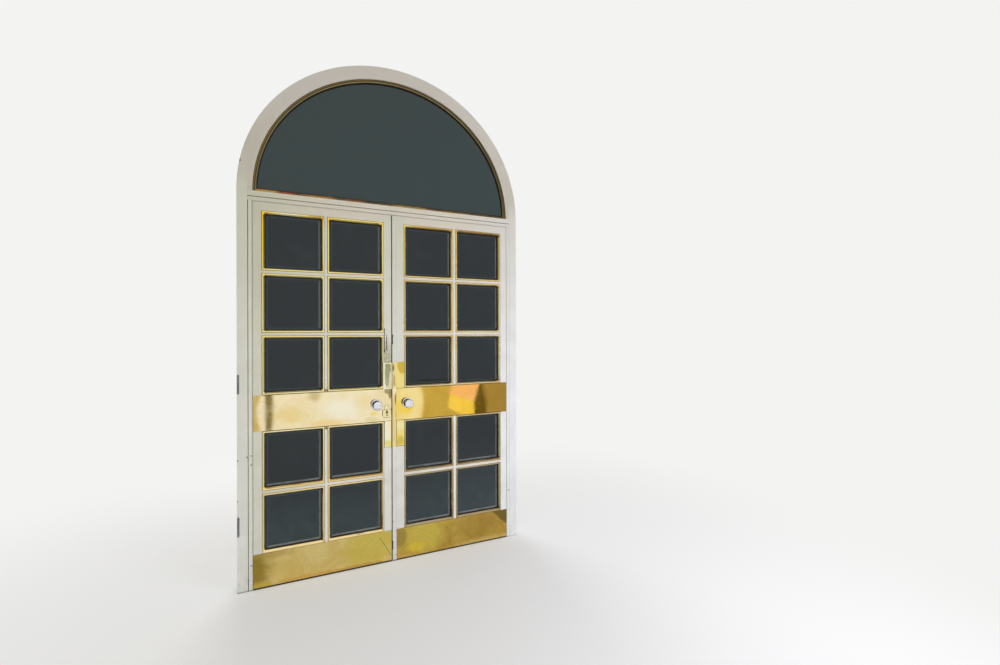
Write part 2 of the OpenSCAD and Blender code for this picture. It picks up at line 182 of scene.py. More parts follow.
@dataclass(frozen=True)
class Patch:
    """A patch of another colour, as an ellipse round a point of X and Z, through the door's depth."""

    x: float
    z: float
    wide: float
    high: float
    colour: Colour
    strength: float = 0.8
    core: float = 0.3
    ragged: float = 0.9
    grain: float = 24


class Recipe:
    """A node material being put together, with one method for each kind of step."""

    # A spot's grain, swing and rim go by its radius. A facing of 1 looks straight up or down.
    spot_grain = 1.2
    spot_swing = 2.4
    spot_rim = 0.8
    score_grain = 30
    level_facing = (0.15, 0.5)
    noise_middle = 0.5
    crevice_samples = 8
    single = ("LENGTH", "DISTANCE", "DOT_PRODUCT")

    def __init__(self, name: str) -> None:
        """Starts a material with a shader, an output and the object's own coordinates.

        Args:
            name: Name of the material.
        """
        self.material: Material = bpy.data.materials.new(name)
        self.material.use_nodes = True
        self.tree = self.material.node_tree
        self.tree.nodes.clear()
        self.shader = self.add("ShaderNodeBsdfPrincipled")
        self.output = self.add("ShaderNodeOutputMaterial")
        self.join(self.shader.outputs["BSDF"], self.output.inputs["Surface"])
        coordinates = self.add("ShaderNodeTexCoord")
        self.place: NodeSocket = coordinates.outputs["Object"]
        self.facing: NodeSocket = coordinates.outputs["Normal"]

    def add(self, kind: str, **settings: object) -> Node:
        """Adds a node and sets its options.

        Args:
            kind: Blender's name of the node type.
            **settings: Options of the node and their values.

        Returns:
            The new node.
        """
        node = self.tree.nodes.new(kind)
        for name, value in settings.items():
            setattr(node, name, value)
        return node

    def join(self, source: NodeSocket, target: NodeSocket) -> None:
        """Links an output to an input."""
        self.tree.links.new(source, target)

    def feed(self, target: NodeSocket, value: object) -> None:
        """Gives an input a link or a fixed value.

        Args:
            target: The input.
            value: An output to link, or a number, a colour or a vector.
        """
        if isinstance(value, NodeSocket):
            self.join(value, target)
        elif target.type == "RGBA" and len(value) == 3:
            target.default_value = (*value, 1)
        else:
            target.default_value = value

    def surface(self, **values: object) -> None:
        """Sets the shader's inputs, each named in small letters with underscores.

        Args:
            **values: Input names and their values or links.
        """
        known = {socket.name.lower().replace(" ", "_"): socket for socket in self.shader.inputs}
        for name, value in values.items():
            self.feed(known[name], value)

    def stretched(self, scale: Point, turn: Point = (0, 0, 0)) -> NodeSocket:
        """Gives the object's coordinates turned and then scaled.

        Args:
            scale: Factor along each axis.
            turn: Turn about each axis, in degrees.

        Returns:
            The changed coordinates.
        """
        mapping = self.add("ShaderNodeMapping")
        self.join(self.place, mapping.inputs["Vector"])
        mapping.inputs["Scale"].default_value = scale
        mapping.inputs["Rotation"].default_value = [math.radians(angle) for angle in turn]
        return mapping.outputs["Vector"]

    def apart(self, vector: NodeSocket | None = None) -> tuple[NodeSocket, NodeSocket, NodeSocket]:
        """Splits a vector into its X, Y and Z.

        Args:
            vector: The vector, or None for the object's coordinates.

        Returns:
            The three values.
        """
        split = self.add("ShaderNodeSeparateXYZ")
        self.join(vector or self.place, split.inputs["Vector"])
        return split.outputs["X"], split.outputs["Y"], split.outputs["Z"]

    def from_arch(self) -> tuple[NodeSocket, NodeSocket]:
        """Gives how far a point lies across and above the arch's centre."""
        x, _, z = self.apart()
        return self.minus(x, OPENING.middle), self.minus(z, OPENING.spring)

    def reach(self) -> NodeSocket:
        """Gives the distance from the arch's centre, across the door's face."""
        across, above = self.from_arch()
        return self.maths("SQRT", self.plus(self.times(across, across), self.times(above, above)))

    def along(self, grain: Grain, squeeze: float) -> NodeSocket:
        """Gives coordinates in which a pattern runs long in the grain's direction.

        Args:
            grain: Direction of the grain.
            squeeze: Scale along the grain, against 1 across it.

        Returns:
            The changed coordinates.
        """
        if grain is Grain.UPRIGHT:
            return self.stretched((1, 1, squeeze))
        if grain is Grain.LEVEL:
            return self.stretched((squeeze, 1, 1))
        across, above = self.from_arch()
        _, y, _ = self.apart()
        ring = self.add("ShaderNodeCombineXYZ")
        self.join(self.reach(), ring.inputs["X"])
        self.join(y, ring.inputs["Y"])
        self.join(self.times(self.maths("ARCTAN2", above, across), squeeze), ring.inputs["Z"])
        return ring.outputs["Vector"]

    def maths(self, operation: str, first: object, second: object = 0.0) -> NodeSocket:
        """Adds a sum of two values.

        Args:
            operation: Blender's name of the operation.
            first: First value or link.
            second: Second value or link.

        Returns:
            The result.
        """
        node = self.add("ShaderNodeMath", operation=operation)
        self.feed(node.inputs[0], first)
        self.feed(node.inputs[1], second)
        return node.outputs["Value"]

    def plus(self, first: object, second: object) -> NodeSocket:
        """Adds one value to another."""
        return self.maths("ADD", first, second)

    def minus(self, first: object, second: object) -> NodeSocket:
        """Takes the second value from the first."""
        return self.maths("SUBTRACT", first, second)

    def times(self, first: object, second: object) -> NodeSocket:
        """Multiplies two values."""
        return self.maths("MULTIPLY", first, second)

    def larger(self, first: object, second: object) -> NodeSocket:
        """Gives the larger of two values."""
        return self.maths("MAXIMUM", first, second)

    def vectors(self, operation: str, first: object, second: object = (0, 0, 0)) -> NodeSocket:
        """Adds a sum of two vectors.

        Args:
            operation: Blender's name of the operation.
            first: First vector or link.
            second: Second vector or link.

        Returns:
            The result, a value or a vector.
        """
        node = self.add("ShaderNodeVectorMath", operation=operation)
        self.feed(node.inputs[0], first)
        self.feed(node.inputs[1], second)
        return node.outputs["Value" if operation in self.single else "Vector"]

    def noise(self, kind: Pattern, place: NodeSocket | None = None) -> NodeSocket:
        """Adds a noise pattern.

        Args:
            kind: The pattern.
            place: Coordinates, or None for the object's own.

        Returns:
            The pattern in its result's range, or from 0 to 1 where it has no span.
        """
        node = self.add("ShaderNodeTexNoise")
        self.join(place or self.place, node.inputs["Vector"])
        amounts = {"Scale": kind.scale, "Detail": kind.detail, "Roughness": kind.rough,
                   "Distortion": kind.twist}
        for name, amount in amounts.items():
            node.inputs[name].default_value = amount
        if kind.span is None:
            return node.outputs["Fac"]
        return self.spread(node.outputs["Fac"], *kind.span, *kind.result)

    def wander(self, scale: float, swing: float, detail: float = 2) -> NodeSocket:
        """Gives a noise that swings round zero.

        Args:
            scale: Features in a metre.
            swing: Its whole swing.
            detail: Number of finer layers.

        Returns:
            The noise.
        """
        return self.times(self.minus(self.noise(Pattern(scale, detail)), self.noise_middle), swing)

    def spread(self, value: NodeSocket, low: float, high: float,
               to_low: float = 0, to_high: float = 1) -> NodeSocket:
        """Eases a value from one range into another, and holds it at the ends.

        Args:
            value: The value.
            low: Start of its range.
            high: End of its range.
            to_low: Result at the start.
            to_high: Result at the end.

        Returns:
            The eased value.
        """
        node = self.add("ShaderNodeMapRange", interpolation_type="SMOOTHSTEP")
        for name, amount in (("From Min", low), ("From Max", high), ("To Min", to_low), ("To Max", to_high)):
            node.inputs[name].default_value = amount
        self.join(value, node.inputs["Value"])
        return node.outputs["Result"]

    def mix(self, share: NodeSocket, first: object, second: object) -> NodeSocket:
        """Blends two colours.

        Args:
            share: Share of the second colour.
            first: First colour or link.
            second: Second colour or link.

        Returns:
            The blended colour.
        """
        node = self.add("ShaderNodeMix", data_type="RGBA")
        self.join(share, node.inputs[0])
        self.feed(node.inputs[6], first)
        self.feed(node.inputs[7], second)
        return node.outputs[2]

    def glow(self, colour: object) -> NodeSocket:
        """Adds a glow.

        Args:
            colour: Its colour or link.

        Returns:
            The glow.
        """
        node = self.add("ShaderNodeEmission")
        self.feed(node.inputs["Color"], colour)
        return node.outputs["Emission"]

    def spots(self, centres: tuple[Pair, ...], radius: float) -> NodeSocket:
        """Marks ragged spots on the street face.

        Args:
            centres: X and Z of the middle of each spot.
            radius: Radius of a spot.

        Returns:
            1 inside a spot and 0 outside.
        """
        nearest: NodeSocket | None = None
        for x, z in centres:
            reach = self.vectors("DISTANCE", self.place, (x, OPENING.street, z))
            nearest = reach if nearest is None else self.maths("MINIMUM", nearest, reach)
        ragged = self.plus(nearest, self.wander(self.spot_grain / radius, self.spot_swing * radius))
        return self.spread(ragged, radius, self.spot_rim * radius)

    def crevices(self, reach: float, openness: Pair) -> NodeSocket:
        """Marks the corners and grooves by ambient occlusion, where the finishes lay painted shade along with
        grime and patina.

        Args:
            reach: How far from a corner the darkening reaches.
            openness: Where a place stays unmarked and where it is fully darkened, from 1, open, to 0.

        Returns:
            1 deep in a groove and 0 on the open surface.
        """
        node = self.add("ShaderNodeAmbientOcclusion", samples=self.crevice_samples)
        node.inputs["Distance"].default_value = reach
        return self.spread(node.outputs["AO"], *openness)

    def patch(self, area: Patch) -> NodeSocket:
        """Marks a soft-edged, uneven patch.

        Args:
            area: Its place, size and strength.

        Returns:
            The patch's strength in its core, falling to 0 at its rim.
        """
        offset = self.vectors("SUBTRACT", self.place, (area.x, OPENING.street, area.z))
        reach = self.vectors("LENGTH", self.vectors("DIVIDE", offset, (area.wide, 1, area.high)))
        ragged = self.plus(reach, self.wander(area.grain, area.ragged, 4))
        return self.spread(ragged, 1, area.core, 0, area.strength)

    def stroke(self, mark: Score) -> NodeSocket:
        """Marks one line on an upright face.

        Args:
            mark: Its place and size.

        Returns:
            1 on the line and 0 beside it.
        """
        start, end = (Vector((x, 0, z)) for x, z in (mark.start, mark.end))
        length = (end - start).length
        ahead = (end - start) / length
        offset = self.vectors("SUBTRACT", self.vectors("MULTIPLY", self.place, (1, 0, 1)), start)
        run = self.vectors("DOT_PRODUCT", offset, ahead)
        foot = self.add("ShaderNodeVectorMath", operation="SCALE")
        foot.inputs[0].default_value = ahead
        self.join(self.larger(self.maths("MINIMUM", run, length), 0), foot.inputs["Scale"])
        off = self.vectors("DISTANCE", offset, foot.outputs["Vector"])
        ragged = self.plus(off, self.wander(self.score_grain, mark.width * mark.ragged))
        return self.spread(ragged, mark.width / 2, mark.width / 4)

    def level_faces(self) -> NodeSocket:
        """Marks the faces that look up or down with 1, and upright ones with 0."""
        _, _, up = self.apart(self.facing)
        return self.spread(self.maths("ABSOLUTE", up), *self.level_facing)

    def bump(self, height: NodeSocket, depth: float, under: NodeSocket | None = None) -> NodeSocket:
        """Turns a height pattern into a surface normal.

        Args:
            height: The pattern, from 0 to 1.
            depth: Its real height in metres.
            under: A normal to work on, or None for the surface's own.

        Returns:
            The bumped normal.
        """
        node = self.add("ShaderNodeBump")
        node.inputs["Strength"].default_value = 1
        node.inputs["Distance"].default_value = depth
        self.join(height, node.inputs["Height"])
        if under is not None:
            self.join(under, node.inputs["Normal"])
        return node.outputs["Normal"]


@dataclass(frozen=True)
class PaintFinish:
    """Oil paint laid on with a brush, a little yellowed and scuffed, with painted shade in its corners and
    painted light and shade by height.
    """

    name: str
    body: Colour = tone(224, 225, 217)
    shade: Colour = tone(213, 213, 204)
    clouds: Pattern = Pattern(5, 5, 0.6, 0.6, (0.34, 0.68))
    streaks: Pattern = Pattern(90, span=(0.52, 0.85), result=(0, 0.35))
    streak_squeeze: float = 0.05
    # Tone towards the top, laid by height: in most paints darker and yellower, which is painted shade with
    # some yellowing; in the casing and ring paints lighter towards the crown, which is painted light.
    light_by_height: Colour = tone(206, 203, 177)
    light_by_height_share: float = 0.72
    light_by_height_from: float = 0.2
    light_by_height_to: float = 2.5
    # A darker, yellower left end: painted shade.
    left_end_shade: Colour | None = None
    left_end_shade_span: Pair = (0.50, 0.10)
    far_tone: Colour | None = None
    far_span: Pair = (1.20, 1.56)
    # Tones that the casing's foot eases into, so that its painted shade meets the jambs' tones.
    foot_tones: tuple[Colour, Colour] | None = None
    foot_blend: float = 0.1
    foot_height: float = 0.14
    grime: Colour = tone(150, 144, 124)
    grime_height: float = 0.22
    splashes: Pattern = Pattern(34, 6, 0.7, 0, (0.44, 0.72), (0, 0.35))
    specks: Pattern = Pattern(140, 3, 0.7, 0.4, (0.70, 0.80), (0, 0.35))
    # Dark colour laid in corners and grooves by ambient occlusion: painted shade, with grime.
    shade_and_crust: Colour = tone(84, 78, 60)
    shade_and_crust_share: float = 0.95
    shade_and_crust_reach: float = 0.010
    shade_and_crust_openness: Pair = (0.84, 0.50)
    grain: Grain = Grain.UPRIGHT
    brush: Pattern = Pattern(520, 3, 0.55)
    brush_squeeze: float = 0.03
    brush_share: float = 0.7
    brush_depth: float = 0.00022
    dimples: Pattern = Pattern(160, 2)
    sheen: Pattern = Pattern(26, span=(0.3, 0.7), result=(0.30, 0.46))
    gloss: float = 0.45
    street_band: Pair = (0.014, 0.008)
    bare: Colour = tone(84, 76, 62)
    chip_radius: float = 0.004
    chip_depth: float = 1.6
    chips: tuple[Pair, ...] = ()
    scores: tuple[Score, ...] = ()
    worn_foot: float = 0
    worn_low: float = 0
    worn_high: float = 0
    worn_edge: float = 0.004
    worn_core: float = 0.7
    scuffed: Colour = tone(138, 134, 96)
    primer: Colour = tone(206, 202, 172)
    flakes: Pattern = Pattern(75, 6, 0.75, 0.5, (0.62, 0.46))
    grit: Pattern = Pattern(240, 4, 0.7, 0, (0.4, 0.62))
    pits: Pattern = Pattern(170, 5, 0.8)

    def make(self) -> Material:
        """Builds the paint's material.

        Returns:
            The material.
        """
        mix = Recipe(self.name)
        _, y, _ = mix.apart()
        near, far = self.street_band
        street = mix.spread(y, OPENING.street + near, OPENING.street + far)
        colour = self.coat(mix)
        strokes = mix.noise(self.brush, mix.along(self.grain, self.brush_squeeze))
        height = mix.plus(mix.times(strokes, self.brush_share),
                          mix.times(mix.noise(self.dimples), 1 - self.brush_share))
        if self.worn_high:
            colour, height = self.worn(mix, street, colour, height)
        for mark in self.scores:
            cut = mix.times(mix.stroke(mark), street)
            colour = mix.mix(cut, colour, self.bare)
            height = mix.minus(height, cut)
        if self.chips:
            chipped = mix.spots(self.chips, self.chip_radius)
            colour = mix.mix(chipped, colour, self.bare)
            height = mix.minus(height, mix.times(chipped, self.chip_depth))
        mix.surface(base_color=colour, roughness=mix.noise(self.sheen), specular_ior_level=self.gloss,
                    normal=mix.bump(height, self.brush_depth))
        return mix.material

    def coat(self, mix: Recipe) -> NodeSocket:
        """Lays on the paint's colour, dirty by place, with painted shade in its corners, painted light and
        shade by height and, where set, painted shade at the left end.

        Args:
            mix: The material being put together.

        Returns:
            The colour.
        """
        x, _, z = mix.apart()
        colour = mix.mix(mix.noise(self.clouds), self.body, self.shade)
        streaks = mix.noise(self.streaks, mix.along(self.grain, self.streak_squeeze))
        colour = mix.mix(streaks, colour, self.shade)
        # Painted light and shade by height, with some yellowing.
        colour = mix.mix(mix.spread(z, self.light_by_height_from, self.light_by_height_to, 0, self.light_by_height_share), colour, self.light_by_height)
        # Painted shade towards the left end.
        if self.left_end_shade:
            colour = mix.mix(mix.spread(x, *self.left_end_shade_span), colour, self.left_end_shade)
        if self.far_tone:
            colour = mix.mix(mix.spread(x, *self.far_span), colour, self.far_tone)
        if self.foot_tones:
            across = mix.spread(x, OPENING.middle - self.foot_blend, OPENING.middle + self.foot_blend)
            low = mix.spread(z, OPENING.spring + self.foot_height, OPENING.spring)
            colour = mix.mix(low, colour, mix.mix(across, *self.foot_tones))
        dirt = mix.times(mix.spread(z, self.grime_height, 0), mix.noise(self.splashes))
        colour = mix.mix(mix.larger(dirt, mix.noise(self.specks)), colour, self.grime)
        # Painted shade in the corners and grooves, with grime.
        shade_and_crust = mix.times(mix.crevices(self.shade_and_crust_reach, self.shade_and_crust_openness), self.shade_and_crust_share)
        return mix.mix(shade_and_crust, colour, self.shade_and_crust)

    def worn(self, mix: Recipe, street: NodeSocket, colour: NodeSocket,
             height: NodeSocket) -> tuple[NodeSocket, NodeSocket]:
        """Rubs the paint off a stretch of the street face.

        Args:
            mix: The material being put together.
            street: 1 on the street face.
            colour: The paint's colour.
            height: The paint's height.

        Returns:
            The rubbed colour and height.
        """
        _, _, z = mix.apart()
        fading = mix.times(mix.spread(z, self.worn_high, self.worn_low),
                           mix.spread(z, self.worn_foot - self.worn_edge, self.worn_foot))
        flaked = mix.larger(mix.noise(self.flakes), mix.times(fading, self.worn_core))
        rubbed = mix.times(mix.times(fading, flaked), street)
        ground = mix.mix(mix.noise(self.grit), self.scuffed, self.primer)
        return mix.mix(rubbed, colour, ground), mix.minus(height, mix.times(rubbed, mix.noise(self.pits)))


@dataclass(frozen=True)
class BrassFinish:
    """Sheet or drawn brass with cloudy patina, fine scratches and a slow wave, and with painted reflections,
    highlights and shade laid into its colour.
    """

    name: str
    bright: Colour
    deep: Colour
    stain: Colour
    smooth: float = 0.09
    dull: float = 0.2
    grain: Grain = Grain.LEVEL
    wave: float = 0.0006
    swell: Pattern = Pattern(4.2, 1, 0.3)
    clouds: Pattern = Pattern(6, 5, 0.62, 1.2, (0.36, 0.66))
    stained: float = 0.5
    blotches: Pattern = Pattern(15, 8, 0.72, 1.6, (0.55, 0.74))
    # Patches of colour: mostly painted reflections, highlights and shadows, a few of them patina and stains.
    patches: tuple[Patch, ...] = ()
    # Colour laid in hollows by ambient occlusion and along the score lines: patina, and painted shade.
    tarnish_and_shade: Colour = (0.10, 0.075, 0.025)
    tarnish_and_shade_reach: float = 0.003
    tarnish_and_shade_share: float = 0.8
    tarnish_and_shade_openness: Pair = (0.8, 0.35)
    tarnish_rough: float = 0.3
    # Tone of the faces that look up or down: a painted reflection.
    level_reflection_tone: Colour | None = None
    level_reflection_share: float = 0.7
    # Tones below a middle and a low height: painted reflections that change from row to row.
    middle_reflection_tone: Colour | None = None
    middle_reflection_span: Pair = (1.86, 1.62)
    uneven: Pattern = Pattern(3.2, 2, span=(0.35, 0.62), result=(0.35, 0.95))
    low_reflection_tone: Colour | None = None
    low_reflection_span: Pair = (0.95, 0.70)
    low_reflection_share: float = 0.85
    # Rings on the fanlight's bead: painted shade and painted highlight for its moulded profile.
    lines: tuple[Line, ...] = ()
    # Lines in the hollows' dark colour: mostly painted shadow lines along the plates' edges and round the
    # guard.
    scores: tuple[Score, ...] = ()
    score_share: float = 0.8
    hairs: Pattern = Pattern(900, 2, 0.6)
    hair_squeeze: float = 0.02
    hair_depth: float = 0.000012
    smears: Pattern = Pattern(19, 5, 0.65, 0.8, (0.35, 0.75))
    smear_squeeze: float = 0.5
    smear_share: float = 0.7
    worn_span: Pair = (0.15, 0.85)

    def make(self) -> Material:
        """Builds the brass's material.

        Returns:
            The material.
        """
        mix = Recipe(self.name)
        colour = self.body(mix)
        # Painted shadow lines in the hollows' dark colour.
        for mark in self.scores:
            colour = mix.mix(mix.times(mix.stroke(mark), self.score_share), colour, self.tarnish_and_shade)
        # Patina and painted shade in the hollows.
        dirt = mix.times(mix.crevices(self.tarnish_and_shade_reach, self.tarnish_and_shade_openness), self.tarnish_and_shade_share)
        hairs = mix.noise(self.hairs, mix.along(self.grain, self.hair_squeeze))
        smears = mix.noise(self.smears, mix.along(self.grain, self.smear_squeeze))
        worn = mix.plus(mix.times(smears, self.smear_share), mix.times(hairs, 1 - self.smear_share))
        roughness = mix.spread(worn, *self.worn_span, self.smooth, self.dull)
        mix.surface(base_color=mix.mix(dirt, colour, self.tarnish_and_shade), metallic=1.0,
                    roughness=mix.plus(roughness, mix.times(dirt, self.tarnish_rough)),
                    normal=mix.bump(hairs, self.hair_depth, mix.bump(mix.noise(self.swell), self.wave)))
        return mix.material

    def body(self, mix: Recipe) -> NodeSocket:
        """Gives the brass's colour, with its stains, and with its tones by place, its patches and its lines,
        which are mostly painted reflections, highlights and shade.

        Args:
            mix: The material being put together.

        Returns:
            The colour.
        """
        _, _, z = mix.apart()
        colour = mix.mix(mix.noise(self.clouds), self.bright, self.deep)
        colour = mix.mix(mix.times(mix.noise(self.blotches), self.stained), colour, self.stain)
        # Painted reflection on the faces that look up or down.
        if self.level_reflection_tone:
            colour = mix.mix(mix.times(mix.level_faces(), self.level_reflection_share), colour, self.level_reflection_tone)
        # Painted reflections that change with height.
        if self.middle_reflection_tone:
            share = mix.times(mix.spread(z, *self.middle_reflection_span), mix.noise(self.uneven))
            colour = mix.mix(share, colour, self.middle_reflection_tone)
        if self.low_reflection_tone:
            colour = mix.mix(mix.spread(z, *self.low_reflection_span, 0, self.low_reflection_share), colour, self.low_reflection_tone)
        # Patches: mostly painted reflections, highlights and shadows.
        for area in self.patches:
            colour = mix.mix(mix.patch(area), colour, area.colour)
        for line in self.lines:
            off = mix.maths("ABSOLUTE", mix.minus(mix.reach(), line.reach))
            colour = mix.mix(mix.spread(off, line.width / 2, line.width / 3), colour, line.colour)
        return colour


@dataclass(frozen=True)
class MetalFinish:
    """Plain turned or rolled metal with faint tool marks, and with painted shade in its hollows and on knob
    necks.
    """

    name: str
    bright: Colour
    dark: Colour
    roughness: float
    spots: Pattern = Pattern(60, 5, 0.65, 0, (0.42, 0.68))
    sheen: Pattern = Pattern(45, span=(0.3, 0.7), result=(0.8, 1.35))
    marks: Pattern = Pattern(700, 2)
    mark_depth: float = 0.00001
    # Colour laid in hollows by ambient occlusion: painted shade, with grime.
    grime: Colour = (0.06, 0.05, 0.035)
    hollow_shade_reach: float = 0.012
    hollow_shade_openness: Pair = (0.75, 0.3)
    hollow_shade_share: float = 0.9
    neck: NeckShade | None = None
    neck_edge: float = 0.001
    neck_shade_share: float = 0.92

    def make(self) -> Material:
        """Builds the metal's material.

        Returns:
            The material.
        """
        mix = Recipe(self.name)
        colour = mix.mix(mix.noise(self.spots), self.bright, self.dark)
        # Painted shade in the hollows, with grime.
        shaded_hollows = mix.crevices(self.hollow_shade_reach, self.hollow_shade_openness)
        colour = mix.mix(mix.times(shaded_hollows, self.hollow_shade_share), colour, self.grime)
        # Painted shade and a painted dark reflection on a knob's neck.
        if self.neck:
            _, y, _ = mix.apart()
            near, far, edge = self.neck.near, self.neck.far, self.neck_edge
            depth = mix.maths("ABSOLUTE", mix.minus(y, self.neck.middle))
            share = mix.times(mix.spread(depth, near - edge, near + edge),
                              mix.spread(depth, far + edge, far - edge))
            colour = mix.mix(mix.times(share, self.neck_shade_share), colour, self.neck.colour)
        mix.surface(base_color=colour, metallic=1.0,
                    roughness=mix.times(mix.noise(self.sheen), self.roughness),
                    normal=mix.bump(mix.noise(self.marks), self.mark_depth))
        return mix.material


@dataclass(frozen=True)
class GlassFinish:
    """Dark tinted glass with a very slight wave, a film of wiped dust, and bevels with a painted highlight
    and a painted reflection of the ground.
    """

    name: str
    tint: Colour
    film: Colour = tone(92, 112, 116)
    wiped: Pattern = Pattern(9, 7, 0.7, 1.1, (0.50, 0.78), (0, 0.07))
    wipe_scale: Point = (1, 1, 0.45)
    wipe_turn: Point = (0, 24, 0)
    splashes: Pattern = Pattern(22, 6, 0.7, 0, (0.3, 0.7), (0.20, 0.38))
    splash_span: Pair = (0.62, 0.24)
    # More of the lighter film on the bevels: a painted highlight.
    bevel_facing: Pair = (0.9995, 0.996)
    bevel_highlight_share: float = 0.16
    # Colour of the ground as the bevels would mirror it: a painted reflection on the right-hand bevels and on
    # the bottom bevels of the lower panes.
    ground: Colour = tone(196, 202, 198)
    tilt_span: Pair = (0.03, 0.06)
    side_reflection_share: float = 0.32
    foot_reflection_share: float = 0.5
    foot_span: Pair = (0.95, 0.85)
    streaks: Pattern = Pattern(14, 2, span=(0.3, 0.7), result=(0.6, 1))
    sheen: Pattern = Pattern(12, 5, 0.6, 0, (0.3, 0.75), (0.012, 0.06))
    wave: Pattern = Pattern(5, 1)
    wave_depth: float = 0.0003
    ior: float = 1.48
    clearness: float = 0.55

    def make(self) -> Material:
        """Builds the glass's material.

        Returns:
            The material.
        """
        mix = Recipe(self.name)
        _, _, z = mix.apart()
        across, out, up = mix.apart(mix.facing)
        dust = mix.noise(self.wiped, mix.stretched(self.wipe_scale, self.wipe_turn))
        splashed = mix.times(mix.spread(z, *self.splash_span), mix.noise(self.splashes))
        # Painted highlight on the bevels.
        bevel = mix.spread(mix.maths("ABSOLUTE", out), *self.bevel_facing, 0, self.bevel_highlight_share)
        colour = mix.mix(mix.plus(mix.larger(dust, splashed), bevel), self.tint, self.film)
        # Painted reflection of the ground on the right-hand bevels and on the lower panes' bottom bevels.
        start, end = self.tilt_span
        beside = mix.spread(across, start, end, 0, self.side_reflection_share)
        below = mix.times(mix.spread(up, -start, -end, 0, self.foot_reflection_share), mix.spread(z, *self.foot_span))
        lit = mix.times(mix.larger(beside, below), mix.noise(self.streaks))
        mix.surface(base_color=mix.mix(lit, colour, self.ground), roughness=mix.noise(self.sheen),
                    ior=self.ior, transmission_weight=self.clearness,
                    normal=mix.bump(mix.noise(self.wave), self.wave_depth))
        return mix.material


@dataclass(frozen=True)
class SealFinish:
    """Soft sealing strip, a little dusty."""

    name: str
    body: Colour
    dust: Colour
    dusting: Pattern = Pattern(120, 5, 0.7, 0, (0.42, 0.7))
    sheen: Pattern = Pattern(60, 3, span=(0.3, 0.7), result=(0.5, 0.75))
    gloss: float = 0.3
    pores: Pattern = Pattern(400, 2)
    pore_depth: float = 0.00008

    def make(self) -> Material:
        """Builds the seal's material.

        Returns:
            The material.
        """
        mix = Recipe(self.name)
        mix.surface(base_color=mix.mix(mix.noise(self.dusting), self.body, self.dust),
                    roughness=mix.noise(self.sheen), specular_ior_level=self.gloss,
                    normal=mix.bump(mix.noise(self.pores), self.pore_depth))
        return mix.material


def only(piece: Object) -> None:
    """Selects one object alone and makes it the active one.

    Args:
        piece: The object.
    """
    bpy.ops.object.select_all(action="DESELECT")
    piece.select_set(True)
    bpy.context.view_layer.objects.active = piece


def dress(piece: Object, material: Material) -> None:
    """Gives an object one material on all its slots.

    Args:
        piece: The object.
        material: The material.
    """
    if not piece.material_slots:
        piece.data.materials.append(material)
    for slot in piece.material_slots:
        slot.material = material


def slot_of(node: str) -> str:
    """Gives the name of the record's material slot on a CAD node."""
    return cad(node).material_slots[0].material.name.split(".")[0]


SLOTS = {node: slot_of(node) for node in frame["nodes"]}


def body_of(node: str) -> str:
    """Gives the body that carries a CAD node."""
    return cad(node).parent.name.split(":")[1]


def islands(node: str) -> list[tuple[Vector, Vector]]:
    """Finds the box of each separate solid in a CAD node.

    Args:
        node: Name of the node.

    Returns:
        The lowest and the highest corner of each solid.
    """
    shape = bmesh.new()
    shape.from_mesh(cad(node).data)
    bmesh.ops.remove_doubles(shape, verts=shape.verts[:], dist=WELD)
    waiting = set(shape.verts)
    boxes = []
    while waiting:
        reached = [waiting.pop()]
        solid = []
        while reached:
            point = reached.pop()
            solid.append(point.co.copy())
            for edge in point.link_edges:
                other = edge.other_vert(point)
                if other in waiting:
                    waiting.discard(other)
                    reached.append(other)
        boxes.append((Vector([min(p[i] for p in solid) for i in range(3)]),
                      Vector([max(p[i] for p in solid) for i in range(3)])))
    shape.free()
    return sorted(boxes, key=lambda box: (round(box[0].z, 3), round(box[0].x, 3), box[0].y))


def started(add: Callable[..., object], **settings: object) -> Object:
    """Adds one of Blender's own objects, with nothing else selected.

    Args:
        add: The operator that adds it.
        **settings: The operator's settings.

    Returns:
        The new object, which is the active one.
    """
    bpy.ops.object.select_all(action="DESELECT")
    add(**settings)
    return bpy.context.active_object


def applied() -> None:
    """Puts the selected object's place, turn and scale into its mesh."""
    bpy.ops.object.transform_apply(location=True, rotation=True, scale=True)


@contextmanager
def editing(everything: bool = True) -> Iterator[None]:
    """Opens the active piece in edit mode, and closes it again.

    Args:
        everything: Whether all of it is selected first.

    Yields:
        Nothing.
    """
    bpy.ops.object.mode_set(mode="EDIT")
    if everything:
        bpy.ops.mesh.select_all(action="SELECT")
    yield
    bpy.ops.object.mode_set(mode="OBJECT")


def banded(width: float, depth: float) -> None:
    """Turns the flat face being edited into a band along its edge, with a thickness.

    Args:
        width: Width of the band.
        depth: Its thickness, into the building.
    """
    bpy.ops.mesh.inset(thickness=width)
    bpy.ops.mesh.delete(type="FACE")
    bpy.ops.mesh.select_all(action="SELECT")
    bpy.ops.mesh.extrude_region_move(TRANSFORM_OT_translate={"value": (0, depth, 0)})
    bpy.ops.mesh.select_all(action="SELECT")
    bpy.ops.mesh.normals_make_consistent(inside=False)


def settled(name: str, piece: Object) -> Object:
    """Names a piece and puts its place into its mesh.

    Args:
        name: Name of the piece.
        piece: The piece.

    Returns:
        The same piece.
    """
    only(piece)
    applied()
    piece.name = name
    piece.data.name = name
    return piece


def joined(name: str, pieces: list[Object]) -> Object:
    """Joins pieces into one.

    Args:
        name: Name of the new piece.
        pieces: The pieces.

    Returns:
        The joined piece, with its place in its mesh.
    """
    for piece in pieces:
        settled(f"{name}_part", piece)
    bpy.ops.object.select_all(action="DESELECT")
    for piece in pieces:
        piece.select_set(True)
    bpy.context.view_layer.objects.active = pieces[0]
    if len(pieces) > 1:
        bpy.ops.object.join()
    return settled(name, pieces[0])


